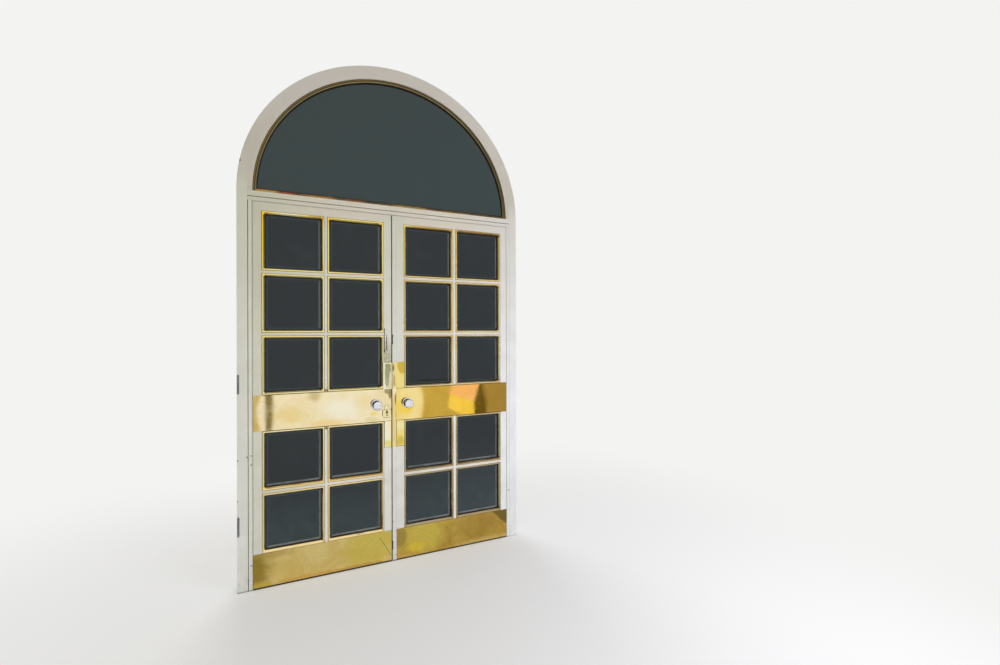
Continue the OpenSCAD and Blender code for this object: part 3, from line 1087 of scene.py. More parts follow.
def fitted(piece: Object, body: str, slot: str, material: Material) -> None:
    """Dresses a new piece and fastens it to a body.

    Args:
        piece: The piece.
        body: The body that carries it.
        slot: The record's material slot; not used.
        material: Its finish.
    """
    dress(piece, material)
    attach(piece, body)
    LOG.info("%s: %d faces, rides on %s", piece.name, len(piece.data.polygons), body)


def flat_strip(low: Vector, high: Vector) -> Object:
    """Models a straight strip between two corners, with its long edges eased.

    Args:
        low: Lowest corner.
        high: Highest corner.

    Returns:
        The strip.
    """
    strip = started(bpy.ops.mesh.primitive_cube_add, size=1, location=(low + high) / 2)
    strip.scale = high - low
    applied()
    with editing():
        bpy.ops.mesh.bevel(offset=min(high - low) * STRIP_EASE, segments=ROUND_STEPS)
    return strip


@dataclass
class EasedMember:
    """A copy of a CAD member whose sharp edges are rounded as a plane and paint leave them."""

    node: str
    width: float
    segments: int = ROUND_STEPS
    flat_angle: float = 0.4
    bevel_angle: float = 32
    smooth_angle: float = 25

    def build(self, material: Material) -> None:
        """Copies, merges, rounds and dresses the member, which then stands for the CAD node.

        Args:
            material: Its finish.
        """
        mesh = cad(self.node).data.copy()
        piece = bpy.data.objects.new(f"{self.node}_eased", mesh)
        bpy.context.scene.collection.objects.link(piece)
        only(piece)
        with editing():
            bpy.ops.mesh.remove_doubles(threshold=WELD)
            bpy.ops.mesh.dissolve_limited(angle_limit=math.radians(self.flat_angle))
        if mesh.has_custom_normals:
            bpy.ops.mesh.customdata_custom_splitnormals_clear()
        bpy.ops.object.shade_smooth_by_angle(angle=math.radians(self.smooth_angle))
        bevel = piece.modifiers.new("ease", "BEVEL")
        bevel.width = self.width
        bevel.segments = self.segments
        bevel.limit_method = "ANGLE"
        bevel.angle_limit = math.radians(self.bevel_angle)
        bevel.harden_normals = True
        bpy.ops.object.modifier_apply(modifier=bevel.name)
        fitted(piece, body_of(self.node), SLOTS[self.node], material)
        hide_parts(self.node)


@dataclass
class Viewpoint:
    """The camera at the photograph's viewing angle."""

    place: Point = (0.2460, -2.8378, 1.3852)
    yaw: float = 24.987
    pitch: float = 0.018
    roll: float = -0.146
    focal_px: float = 455.71
    image_w: float = 1000
    sensor_mm: float = 36
    clip_start: float = 0.02

    def build(self) -> None:
        """Adds the camera and makes it the scene's own."""
        yaw, pitch, roll = (math.radians(a) for a in (self.yaw, self.pitch, self.roll))
        ahead = Vector((math.sin(yaw), math.cos(yaw), 0)) * math.cos(pitch) + Vector((0, 0, math.sin(pitch)))
        side = Vector((math.cos(yaw), -math.sin(yaw), 0))
        above = side.cross(ahead)
        right = side * math.cos(roll) + above * math.sin(roll)
        up = above * math.cos(roll) - side * math.sin(roll)
        camera = started(bpy.ops.object.camera_add)
        camera.name = "viewpoint"
        camera.data.sensor_width = self.sensor_mm
        camera.data.lens = self.focal_px * self.sensor_mm / self.image_w
        camera.data.clip_start = self.clip_start
        axes = Matrix((right, up, -ahead)).transposed().to_4x4()
        camera.matrix_world = Matrix.Translation(self.place) @ axes
        bpy.context.scene.camera = camera


@dataclass(frozen=True)
class Card:
    """A flat studio card, upright and facing the door, that glows and only shows in polished surfaces, as a
    painted reflection.
    """

    name: str
    depth: float
    outline: tuple[Pair, ...]
    colour: Colour


@dataclass(frozen=True)
class Lamp:
    """A soft area lamp that no surface shows."""

    name: str
    place: Point
    aim: Point
    size: float
    power: float
    colour: Colour = (1, 1, 1)


@dataclass
class Studio:
    """A pale floor, a pale surround, soft lamps and glowing cards that put painted reflections into the
    polished metal.
    """

    surround: Colour = (0.90, 0.90, 0.89)
    fill: float = 0.30
    floor_colour: Colour = (0.80, 0.795, 0.785)
    floor_shade: float = 0.93
    floor_rough: float = 0.8
    floor_grains: Pattern = Pattern(140, 4, 0.7, 0, (0.35, 0.65))
    floor_glow: float = 0.38
    glow_ahead: float = 0.012
    glow_beside: float = 0.01
    floor_side: float = 60
    fade_near: float = 0.8
    fade_far: float = 3.4
    lamps: tuple[Lamp, ...] = (
        Lamp("key_lamp", (3.2, -3.3, 0.5), (1.4, 0, 0.5), 2.2, 130, (0.975, 0.97, 1.12)),
        Lamp("left_fill", (-1.5, -3.1, 0.35), (0.4, 0, 0.4), 2.0, 42, (0.985, 1.0, 0.74)),
        Lamp("rear_lamp", (0.8, 4.2, 2.6), (0.8, 0, 1.3), 3.0, 110),
    )
    # Glowing cards whose shapes and colours are painted reflections in the plates, beads and knobs.
    cards: tuple[Card, ...] = (
        Card("left_gold_card", -2.90, ((-0.60, 0.73), (-0.005, 0.73), (-0.04, 0.633), (-0.059, 0.569),
                                       (-0.061, 0.503), (-0.05, 0.415), (-0.021, 0.319), (-0.02, 0.26),
                                       (-0.60, 0.26)), (0.62, 0.50, 0.27)),
        Card("left_dark_card", -2.88, ((0.018, 0.74), (0.093, 0.74), (0.098, 0.593), (0.093, 0.384),
                                       (0.078, 0.262), (0.029, 0.262)), (0.25, 0.21, 0.10)),
        Card("gold_card", -2.94, ((1.75, 0.79), (1.794, 0.645), (1.813, 0.53), (1.806, 0.415), (1.78, 0.278),
                                  (1.77, 0.25), (2.60, 0.25), (2.60, 0.76)), (0.62, 0.52, 0.26)),
        Card("salmon_card", -2.92, ((2.20, 0.76), (2.62, 0.76), (2.496, 0.461), (2.158, 0.595)),
             (1.05, 0.70, 0.67)),
        Card("yellow_card", -2.91, ((2.155, 0.594), (2.492, 0.465), (2.506, 0.262), (2.40, 0.262),
                                    (2.132, 0.418)), (1.0, 0.86, 0.30)),
        Card("dark_card", -2.89, ((2.578, 0.76), (2.484, 0.466), (2.498, 0.25), (2.66, 0.25), (2.655, 0.427),
                                  (2.62, 0.591)), (0.15, 0.12, 0.04)),
        Card("dusk_card", -2.895, ((2.60, 0.76), (2.60, 0.25), (2.665, 0.25), (2.70, 0.427), (2.672, 0.591),
                                   (2.62, 0.76)), (0.32, 0.26, 0.125)),
        Card("brown_card", -2.90, ((2.575, 0.76), (3.6, 0.76), (3.6, 0.25), (2.48, 0.25)),
             (0.42, 0.34, 0.19)),
    )
    # A dark glowing card on the left: a painted dark reflection, fading into the surround.
    dark_side: tuple[Point, Point] = ((-0.95, -2.2, -0.1), (-0.95, -0.25, 3.2))
    dark_colour: Colour = (0.15, 0.14, 0.12)
    dark_fade_near: float = 1.3
    dark_fade_top: float = 1.2

    def background(self) -> None:
        """Lights the world softly and shows it pale to the camera and in metal and glass."""
        world = bpy.data.worlds.new("surround")
        bpy.context.scene.world = world
        world.use_nodes = True
        nodes, links = world.node_tree.nodes, world.node_tree.links
        nodes.clear()
        shown = nodes.new("ShaderNodeBackground")
        shown.inputs["Color"].default_value = (*self.surround, 1)
        lit = nodes.new("ShaderNodeBackground")
        lit.inputs["Color"].default_value = (1, 1, 1, 1)
        lit.inputs["Strength"].default_value = self.fill
        choose = nodes.new("ShaderNodeMixShader")
        links.new(self.looks(world.node_tree), choose.inputs["Fac"])
        links.new(lit.outputs["Background"], choose.inputs[1])
        links.new(shown.outputs["Background"], choose.inputs[2])
        links.new(choose.outputs["Shader"], nodes.new("ShaderNodeOutputWorld").inputs["Surface"])

    @staticmethod
    def looks(tree: NodeTree) -> NodeSocket:
        """Adds a value that is 1 for camera, glossy and transmission rays.

        Args:
            tree: The node tree.

        Returns:
            The value.
        """
        path = tree.nodes.new("ShaderNodeLightPath")
        total = path.outputs["Is Camera Ray"]
        for name in ("Is Glossy Ray", "Is Transmission Ray"):
            join = tree.nodes.new("ShaderNodeMath")
            join.operation = "MAXIMUM"
            tree.links.new(total, join.inputs[0])
            tree.links.new(path.outputs[name], join.inputs[1])
            total = join.outputs["Value"]
        return total

    def floor(self) -> None:
        """Lays the pale floor, which glows round the door, stays darker on the door's footprint as a painted
        shadow, and fades into the surround away from it.
        """
        floor = started(bpy.ops.mesh.primitive_plane_add, size=self.floor_side,
                        location=(OPENING.middle, 0, 0))
        floor.name = "studio_floor"
        mix = Recipe("studio_floor")
        shade = tuple(channel * self.floor_shade for channel in self.floor_colour)
        mix.surface(base_color=mix.mix(mix.noise(self.floor_grains), self.floor_colour, shade),
                    roughness=self.floor_rough)
        x, y, _ = mix.apart()
        ahead = -OPENING.street
        beside = (OPENING.right - OPENING.left) / 2
        # Painted shadow: the glow stays off the door's footprint and a strip just ahead of it, so that the
        # floor there stays darker.
        outside = mix.larger(mix.spread(mix.maths("ABSOLUTE", y), ahead, ahead + self.glow_ahead),
                             mix.spread(mix.maths("ABSOLUTE", x), beside - self.glow_beside, beside))
        lift = mix.glow(self.floor_colour)
        lifted = mix.times(self.looks(mix.tree), mix.times(outside, self.floor_glow))
        mix.join(lifted, lift.node.inputs["Strength"])
        both = mix.add("ShaderNodeAddShader")
        mix.join(mix.shader.outputs["BSDF"], both.inputs[0])
        mix.join(lift, both.inputs[1])
        fade = mix.spread(mix.vectors("LENGTH", mix.place), self.fade_near, self.fade_far)
        choose = mix.add("ShaderNodeMixShader")
        mix.join(mix.times(fade, self.looks(mix.tree)), choose.inputs["Fac"])
        mix.join(both.outputs["Shader"], choose.inputs[1])
        mix.join(mix.glow(self.surround), choose.inputs[2])
        mix.join(choose.outputs["Shader"], mix.output.inputs["Surface"])
        dress(floor, mix.material)

    def glowing(self, name: str, colour: Colour, faded: bool = False) -> Material:
        """Builds a card's glowing material, which shows as a painted reflection.

        Args:
            name: Name of the card.
            colour: Its colour.
            faded: Whether it fades into the surround towards the camera and the top.

        Returns:
            Its material.
        """
        mix = Recipe(name)
        shown: object = colour
        if faded:
            _, y, z = mix.apart()
            (_, near, _), (_, _, top) = self.dark_side
            fade = mix.larger(mix.spread(y, near + self.dark_fade_near, near),
                              mix.spread(z, top - self.dark_fade_top, top))
            shown = mix.mix(fade, colour, self.surround)
        mix.join(mix.glow(shown), mix.output.inputs["Surface"])
        return mix.material

    @staticmethod
    def hang(name: str, corners: list[Point], material: Material) -> None:
        """Sets up one card.

        Args:
            name: Its name.
            corners: Its corners in order.
            material: Its material.
        """
        flat = started(bpy.ops.mesh.primitive_circle_add, vertices=len(corners), fill_type="NGON",
                       location=(0, 0, 0))
        flat.name = name
        for point, corner in zip(flat.data.vertices, corners):
            point.co = corner
        flat.data.update()
        dress(flat, material)
        for sight in ("camera", "diffuse", "shadow", "transmission", "volume_scatter"):
            setattr(flat, f"visible_{sight}", False)

    @staticmethod
    def shine(lamp: Lamp) -> None:
        """Sets up one lamp.

        Args:
            lamp: Its place, aim, size, power and colour.
        """
        light = started(bpy.ops.object.light_add, type="AREA", location=lamp.place)
        light.name = lamp.name
        light.data.size = lamp.size
        light.data.energy = lamp.power
        light.data.color = lamp.colour
        light.rotation_euler = (Vector(lamp.aim) - Vector(lamp.place)).to_track_quat("-Z", "Y").to_euler()
        for sight in ("camera", "glossy", "transmission"):
            setattr(light, f"visible_{sight}", False)

    def build(self) -> None:
        """Sets up the whole studio."""
        self.background()
        self.floor()
        for card in self.cards:
            corners = [(x, card.depth, z) for x, z in card.outline]
            self.hang(card.name, corners, self.glowing(card.name, card.colour))
        (x, near, foot), (_, far, top) = self.dark_side
        corners = [(x, near, foot), (x, far, foot), (x, far, top), (x, near, top)]
        self.hang("dark_side", corners, self.glowing("dark_side", self.dark_colour, True))
        for lamp in self.lamps:
            self.shine(lamp)
        bpy.context.scene.view_settings.view_transform = "Standard"
        LOG.info("studio: %d lamps, %d cards", len(self.lamps), len(self.cards) + 1)


CHIPS = ((0.0672, 0.1335), (0.0684, 0.7249), (0.0683, 0.6765), (0.0472, 0.7194),
         (0.0030, 0.7065), (0.0020, 0.4887), (1.606, 0.3142), (1.221, 1.0525))
STRIP_CHIPS = ((0.8235, 0.2416), (0.8240, 0.33), (0.823, 0.075))


class Finish(Enum):
    """The door's finishes."""

    UPRIGHT_PAINT = PaintFinish("upright_paint", chips=CHIPS)
    WORN_PAINT = PaintFinish(
        "worn_paint", worn_foot=1.204, worn_low=1.25, worn_high=1.38,
        scores=(Score((0.7762, 1.27), (0.7762, 1.41), 0.007), Score((0.788, 1.28), (0.788, 1.375), 0.006)))
    STRIP_PAINT = PaintFinish(
        "strip_paint", chips=STRIP_CHIPS, chip_radius=0.005,
        scores=(Score((0.8225, 0.048), (0.8225, 0.121), 0.007),
                Score((0.8235, 1.318), (0.8235, 1.372), 0.006)))
    # The rails' paint, with painted shade towards its left end.
    LEVEL_PAINT = PaintFinish(
        "level_paint", body=tone(226, 221, 208), shade=tone(214, 208, 193), grain=Grain.LEVEL,
        light_by_height=tone(214, 205, 184), left_end_shade=tone(206, 203, 180), far_tone=tone(216, 211, 199))
    # A darker copy of the paint for the arch's casing, which is painted shade, lighter towards the crown as
    # painted light.
    CASING_PAINT = PaintFinish(
        "casing_paint", body=tone(205, 200, 183), shade=tone(195, 189, 172), grain=Grain.RING,
        light_by_height=tone(216, 209, 196), light_by_height_from=2.16, light_by_height_to=2.9, light_by_height_share=0.95, shade_and_crust_share=0.2,
        foot_tones=(tone(210, 208, 188), tone(213, 209, 196)), chips=((0.0172, 2.31),),
        chip_radius=0.006)
    STILE_PAINT = PaintFinish(
        "stile_paint", body=tone(217, 218, 205), shade=tone(205, 205, 190), light_by_height=tone(200, 196, 168),
        light_by_height_share=0.85, shade_and_crust_share=0.6, shade_and_crust_reach=0.006, chips=CHIPS)
    POST_PAINT = PaintFinish(
        "post_paint", bare=tone(128, 116, 76), chips=((0.445, 1.058), (0.445, 0.843)),
        chip_radius=0.010)
    # A darker copy of the paint for the arch's stop ring, which is painted shade, lighter towards the crown
    # as painted light.
    RING_PAINT = PaintFinish(
        "ring_paint", body=tone(206, 200, 183), shade=tone(196, 189, 172), grain=Grain.RING,
        light_by_height=tone(216, 209, 196), light_by_height_from=2.16, light_by_height_to=2.9, light_by_height_share=0.95, shade_and_crust_share=0.2)
    # A lighter, bluer copy of the paint for the right-hand side, with less dark in its corners: painted
    # light.
    RIGHT_PAINT = PaintFinish(
        "right_paint", body=tone(226, 228, 224), shade=tone(215, 216, 213), light_by_height=tone(212, 208, 193),
        light_by_height_from=0.6, light_by_height_share=0.9, shade_and_crust_share=0.45, chips=CHIPS)
    # The left lock plate: its patches are painted reflections, with a painted shadow of the strike box at the
    # top right, and its score lines painted shadow lines along the edges and round the guard.
    PALE_BRASS = BrassFinish(
        "pale_brass", bright=(0.95, 0.84, 0.56), deep=(0.92, 0.76, 0.44), stain=(0.82, 0.66, 0.36),
        smooth=0.02, dull=0.07, wave=0.0002, tarnish_and_shade_reach=0.006, tarnish_and_shade=(0.09, 0.07, 0.025),
        scores=(Score((0.122, 1.0475), (0.77, 1.0475), 0.0035, 0.6),
                Score((0.122, 0.8525), (0.816, 0.8525), 0.004, 0.6),
                Score((0.7622, 0.888), (0.7622, 0.921), 0.0045, 0.5),
                Score((0.7622, 0.888), (0.772, 0.8765), 0.0045, 0.5),
                Score((0.772, 0.8758), (0.804, 0.8758), 0.0055, 0.5),
                Score((0.804, 0.8758), (0.8142, 0.888), 0.004, 0.5),
                Score((0.8142, 0.888), (0.8142, 0.93), 0.003, 0.5)),
        patches=(Patch(0.26, 0.93, 0.13, 0.06, (0.86, 0.66, 0.26), 0.7),
                 Patch(0.381, 1.03, 0.045, 0.045, (0.60, 0.44, 0.18), 0.7),
                 Patch(0.46, 0.87, 0.14, 0.03, (0.90, 0.64, 0.22), 0.6),
                 Patch(0.53, 0.94, 0.13, 0.08, (0.96, 0.90, 0.70), 0.9),
                 Patch(0.66, 1.0, 0.04, 0.05, (0.93, 0.76, 0.38), 0.6),
                 Patch(0.712, 0.906, 0.032, 0.020, (0.92, 0.68, 0.17), 0.8, 0.2, 1.6),
                 Patch(0.70, 0.866, 0.06, 0.025, (0.80, 0.68, 0.32), 0.7),
                 Patch(0.797, 1.034, 0.030, 0.024, (0.40, 0.30, 0.14), 0.9, 0.55, 0.4, 40),
                 Patch(0.809, 1.012, 0.014, 0.040, (0.30, 0.24, 0.09), 0.9, 0.4, 0.4, 40)))
    # The right lock plate: its patches are painted reflections round the knob and at the ends, and its score
    # lines painted shadow lines along the edges.
    GOLD_BRASS = BrassFinish(
        "gold_brass", bright=(0.92, 0.70, 0.22), deep=(0.88, 0.64, 0.18), stain=(0.74, 0.52, 0.14),
        smooth=0.02, dull=0.08, wave=0.0002, tarnish_and_shade_reach=0.006, tarnish_and_shade=(0.09, 0.06, 0.015),
        scores=(Score((0.847, 1.0475), (1.59, 1.0475), 0.0035, 0.6),
                Score((0.847, 0.8525), (1.59, 0.8525), 0.0045, 0.6)),
        patches=(Patch(0.93, 0.96, 0.12, 0.20, (0.98, 0.79, 0.34), 0.9, 0.4, 0.5),
                 Patch(0.892, 0.938, 0.075, 0.075, (0.97, 0.68, 0.09), 0.9, 0.45),
                 Patch(1.54, 0.95, 0.12, 0.2, (0.84, 0.60, 0.20), 0.6, 0.4, 0.6)))
    # The left stile plates: the score lines are painted shadow lines along the edges and the patch a painted
    # reflection.
    LEMON_BRASS = BrassFinish(
        "lemon_brass", bright=(0.96, 0.92, 0.66), deep=(0.93, 0.87, 0.55), stain=(0.74, 0.66, 0.34),
        scores=(Score((0.776, 0.6945), (0.815, 0.6945), 0.004, 0.6),
                Score((0.7755, 0.695), (0.7755, 0.85), 0.003, 0.9)),
        patches=(Patch(0.80, 0.715, 0.05, 0.03, (0.80, 0.70, 0.12), 0.8),))
    # The right stile plates: the score lines are painted shadow lines along the edges and the patches painted
    # reflections.
    YELLOW_BRASS = BrassFinish(
        "yellow_brass", bright=(0.95, 0.80, 0.30), deep=(0.92, 0.72, 0.22), stain=(0.66, 0.52, 0.12),
        scores=(Score((0.847, 0.6945), (0.895, 0.6945), 0.005, 0.6),
                Score((0.8475, 0.695), (0.8475, 0.85), 0.004, 0.9)),
        patches=(Patch(0.884, 1.185, 0.036, 0.055, (0.66, 0.46, 0.05), 0.9, 0.75, 0.3),
                 Patch(0.87, 0.82, 0.04, 0.04, (0.94, 0.86, 0.46), 0.8),
                 Patch(0.87, 0.725, 0.05, 0.04, (0.66, 0.50, 0.07), 0.85)))
    # The cover strip: the pale patch is a painted highlight and the narrow dark strip by its right edge
    # painted shade; the brown streaks are stains.
    COVER_BRASS = BrassFinish(
        "cover_brass", bright=(0.95, 0.80, 0.40), deep=(0.86, 0.67, 0.29), stain=(0.55, 0.38, 0.13),
        grain=Grain.UPRIGHT, stained=0.8, tarnish_and_shade_reach=0.006,
        patches=(Patch(0.828, 1.175, 0.007, 0.035, (0.30, 0.18, 0.06), 0.9),
                 Patch(0.832, 1.10, 0.008, 0.055, (0.42, 0.28, 0.11), 0.8),
                 Patch(0.833, 1.03, 0.02, 0.035, (0.97, 0.90, 0.66), 0.9),
                 Patch(0.8395, 0.985, 0.0045, 0.05, (0.18, 0.14, 0.04), 0.95, 0.5, 0.4),
                 Patch(0.843, 0.885, 0.004, 0.03, (0.55, 0.38, 0.12), 0.8)))
    # The strike box: the olive patches are patina on its sunk face and the bright stripe on the right a
    # painted highlight.
    STRIKE_BRASS = BrassFinish(
        "strike_brass", bright=(0.96, 0.94, 0.74), deep=(0.88, 0.84, 0.56), stain=(0.62, 0.56, 0.32),
        smooth=0.14, dull=0.3, tarnish_and_shade=(0.26, 0.26, 0.13), tarnish_and_shade_reach=0.008, tarnish_and_shade_share=0.45,
        patches=(Patch(0.790, 1.122, 0.0155, 0.070, (0.40, 0.40, 0.22), 0.9, 0.8, 0.3, 60),
                 Patch(0.793, 1.155, 0.0185, 0.048, (0.40, 0.40, 0.22), 0.9, 0.8, 0.3, 60),
                 Patch(0.793, 1.188, 0.0185, 0.013, (0.36, 0.35, 0.19), 0.9, 0.8, 0.3, 60),
                 Patch(0.8075, 1.122, 0.0050, 0.040, (0.98, 0.96, 0.78), 0.9, 0.5, 0.3)))
    # The guard: its bright patches are painted highlights and the dark one painted shade in the keyhole.
    GUARD_BRASS = BrassFinish(
        "guard_brass", bright=(0.95, 0.88, 0.56), deep=(0.88, 0.78, 0.40), stain=(0.48, 0.40, 0.16),
        tarnish_and_shade=(0.12, 0.09, 0.03), tarnish_and_shade_reach=0.008, tarnish_and_shade_share=0.95,
        patches=(Patch(0.784, 0.938, 0.010, 0.009, (1.0, 0.95, 0.76), 0.8, 0.3, 0.9, 120),
                 Patch(0.787, 0.908, 0.0085, 0.018, (0.20, 0.18, 0.05), 0.9, 0.45, 0.3, 90),
                 Patch(0.800, 0.915, 0.004, 0.020, (0.99, 0.93, 0.66), 0.9, 0.4, 0.3, 90)))
    # The left leaf's beads: their tones by facing and by height and their patches are painted reflections and
    # highlights.
    BEAD_BRASS = BrassFinish(
        "bead_brass", bright=(1.0, 0.72, 0.07), deep=(0.98, 0.63, 0.05), stain=(0.74, 0.48, 0.05),
        smooth=0.10, dull=0.24, stained=0.4, tarnish_and_shade=(0.14, 0.095, 0.015), tarnish_and_shade_reach=0.003,
        tarnish_and_shade_share=0.6, level_reflection_tone=(1.0, 0.88, 0.44), middle_reflection_tone=(1.0, 0.91, 0.54),
        low_reflection_tone=(1.0, 0.78, 0.40),
        patches=(Patch(0.25, 2.043, 0.11, 0.02, (1.0, 0.94, 0.66), 0.9, 0.4),
                 Patch(0.40, 2.043, 0.06, 0.02, (0.62, 0.42, 0.14), 0.8, 0.3),
                 Patch(0.445, 1.90, 0.03, 0.16, (1.0, 0.94, 0.40), 0.9, 0.6, 0.4),
                 Patch(0.763, 1.89, 0.02, 0.18, (1.0, 0.95, 0.42), 0.9, 0.6, 0.4),
                 Patch(0.61, 2.043, 0.14, 0.02, (0.98, 0.88, 0.30), 0.8, 0.4)))
    # A darker copy for the right leaf's beads, standing for a painted reflection of darker surroundings; its
    # tones and patches are painted reflections too.
    DIM_BEAD_BRASS = BrassFinish(
        "dim_bead_brass", bright=(1.0, 0.73, 0.17), deep=(0.82, 0.55, 0.13), stain=(0.44, 0.24, 0.06),
        level_reflection_tone=(0.66, 0.45, 0.17), middle_reflection_tone=(0.90, 0.78, 0.50), low_reflection_tone=(0.44, 0.345, 0.20),
        smooth=0.14, dull=0.32, stained=0.8, tarnish_and_shade=(0.07, 0.045, 0.015), tarnish_and_shade_reach=0.005,
        tarnish_and_shade_share=0.9,
        patches=(Patch(1.42, 2.043, 0.22, 0.03, (0.44, 0.31, 0.13), 0.9, 0.7, 0.4),
                 Patch(1.13, 2.043, 0.08, 0.03, (0.62, 0.42, 0.20), 0.7, 0.4),
                 Patch(0.91, 2.04, 0.07, 0.02, (0.98, 0.90, 0.36), 0.8, 0.3),
                 Patch(1.204, 1.88, 0.02, 0.18, (0.78, 0.68, 0.40), 0.9, 0.6, 0.4),
                 Patch(1.545, 1.90, 0.02, 0.20, (0.62, 0.46, 0.22), 0.8, 0.6, 0.4)))
    # The left kick plate: its patches are painted reflections, the dark one at the left end among them.
    PALE_KICK = BrassFinish(
        "pale_kick", bright=(0.86, 0.69, 0.28), deep=(0.78, 0.58, 0.18), stain=(0.62, 0.41, 0.11),
        smooth=0.22, dull=0.38, stained=0.45, scores=(Score((0.7461, 0.1551), (0.8126, 0.0380), 0.003, 0.4),),
        patches=(Patch(0.70, 0.12, 0.22, 0.2, (0.75, 0.60, 0.11), 0.8),
                 Patch(0.085, 0.11, 0.11, 0.2, (0.35, 0.245, 0.035), 0.95, 0.2, 0.6),
                 Patch(0.19, 0.175, 0.12, 0.03, (0.58, 0.38, 0.12), 0.6),
                 Patch(0.11, 0.015, 0.08, 0.03, (0.70, 0.50, 0.07), 0.7),
                 Patch(0.34, 0.012, 0.22, 0.022, (0.72, 0.44, 0.11), 0.8),
                 Patch(0.62, 0.010, 0.24, 0.02, (0.62, 0.38, 0.10), 0.8)))
    # The right kick plate, darker than the left as a painted reflection; its patches, the large dark one at
    # the top right among them, are painted reflections too.
    GOLD_KICK = BrassFinish(
        "gold_kick", bright=(0.62, 0.43, 0.09), deep=(0.51, 0.325, 0.055), stain=(0.38, 0.225, 0.04),
        smooth=0.22, dull=0.38, stained=0.5,
        patches=(Patch(1.02, 0.12, 0.17, 0.16, (0.74, 0.58, 0.11), 0.9, 0.35, 0.5),
                 Patch(0.97, 0.055, 0.10, 0.04, (0.84, 0.64, 0.07), 0.85),
                 Patch(0.865, 0.135, 0.05, 0.075, (0.44, 0.32, 0.08), 0.85, 0.6, 0.3),
                 Patch(0.90, 0.01, 0.10, 0.022, (0.74, 0.50, 0.14), 0.7),
                 Patch(1.42, 0.12, 0.28, 0.12, (0.44, 0.28, 0.06), 0.6),
                 Patch(1.42, 0.012, 0.30, 0.03, (0.76, 0.56, 0.20), 0.75),
                 Patch(1.9445, 0.5635, 0.60, 0.60, (0.19, 0.125, 0.035), 0.9, 0.97, 0.02)))
    # The fanlight's bead; its rings are painted shade and painted highlight.
    BRONZE = BrassFinish(
        "bronze", bright=(0.15, 0.11, 0.055), deep=(0.085, 0.058, 0.032), stain=(0.24, 0.19, 0.08),
        smooth=0.22, dull=0.40, grain=Grain.RING, stained=0.8, tarnish_and_shade_reach=0.008,
        lines=(Line(0.7565, 0.004, (0.035, 0.024, 0.012)), Line(0.7525, 0.005, (0.24, 0.165, 0.06)),
               Line(0.7480, 0.005, (0.030, 0.022, 0.012)), Line(0.7440, 0.004, (0.26, 0.22, 0.10))),
        patches=(Patch(0.14, 2.165, 0.09, 0.03, (0.52, 0.29, 0.08), 0.9),
                 Patch(0.245, 2.165, 0.06, 0.03, (0.32, 0.10, 0.04), 0.9),
                 Patch(0.41, 2.165, 0.12, 0.03, (0.40, 0.20, 0.055), 0.9),
                 Patch(0.60, 2.165, 0.08, 0.03, (0.28, 0.11, 0.04), 0.9),
                 Patch(0.94, 2.165, 0.16, 0.03, (0.40, 0.25, 0.06), 0.9),
                 Patch(1.24, 2.165, 0.14, 0.03, (0.22, 0.13, 0.04), 0.8)))
    # Chrome knobs, with painted shade in their hollows and painted shade and dark reflection on their necks.
    CHROME = MetalFinish(
        "chrome", (0.88, 0.88, 0.92), (0.76, 0.76, 0.80), 0.13, grime=(0.035, 0.024, 0.03),
        hollow_shade_reach=0.024, hollow_shade_openness=(0.74, 0.44),
        neck=NeckShade(-0.0275, 0.0335, 0.0775, (0.055, 0.04, 0.05)))
    STEEL = MetalFinish(
        "steel", (0.30, 0.32, 0.32), (0.16, 0.16, 0.155), 0.38)
    # Dark seals round the panes and the fanlight and under the leaves, which also stand for the shade there.
    SEAL = SealFinish("seal", tone(30, 29, 26), tone(52, 49, 43))
    PALE_SEAL = SealFinish(
        "pale_seal", tone(210, 206, 190), tone(186, 181, 162))
    PUTTY = SealFinish(
        "putty", tone(118, 104, 66), tone(160, 148, 108))
    PANE_GLASS = GlassFinish("pane_glass", (0.003, 0.011, 0.015))
    FAN_GLASS = GlassFinish("fan_glass", (0.026, 0.050, 0.050))

    @cached_property
    def material(self) -> Material:
        """The finish's material, made when it is first asked for."""
        return self.value.make()


@dataclass
class PaneRings:
    """A thin rectangular ring round each pane of a leaf, on the street side and on the room side."""

    side: str
    name: str
    slot: str
    outset: float
    width: float
    street: float
    depth: float

    def ring(self, low: Vector, high: Vector, y: float) -> Object:
        """Models one ring by an inset and an extrusion.

        Args:
            low: Lowest corner of the pane.
            high: Highest corner of the pane.
            y: Depth of the ring's street face.

        Returns:
            The ring.
        """
        middle = (low + high) / 2
        ring = started(bpy.ops.mesh.primitive_plane_add, size=1, location=(middle.x, y, middle.z),
                       rotation=(QUARTER, 0, 0))
        ring.scale = (high.x - low.x + 2 * self.outset, high.z - low.z + 2 * self.outset, 1)
        applied()
        with editing():
            banded(self.width, self.depth)
        return ring

    def build(self, middle_y: float, material: Material) -> None:
        """Rings every pane of the leaf on both faces.

        Args:
            middle_y: Depth of the plane that the two faces mirror in.
            material: The rings' finish.
        """
        room = 2 * middle_y - self.street - self.depth
        rings = [self.ring(low, high, y) for low, high in islands(f"{self.side}_panes")
                 for y in (self.street, room)]
        fitted(joined(f"{self.side}_{self.name}", rings), f"{self.side}_leaf", self.slot, material)


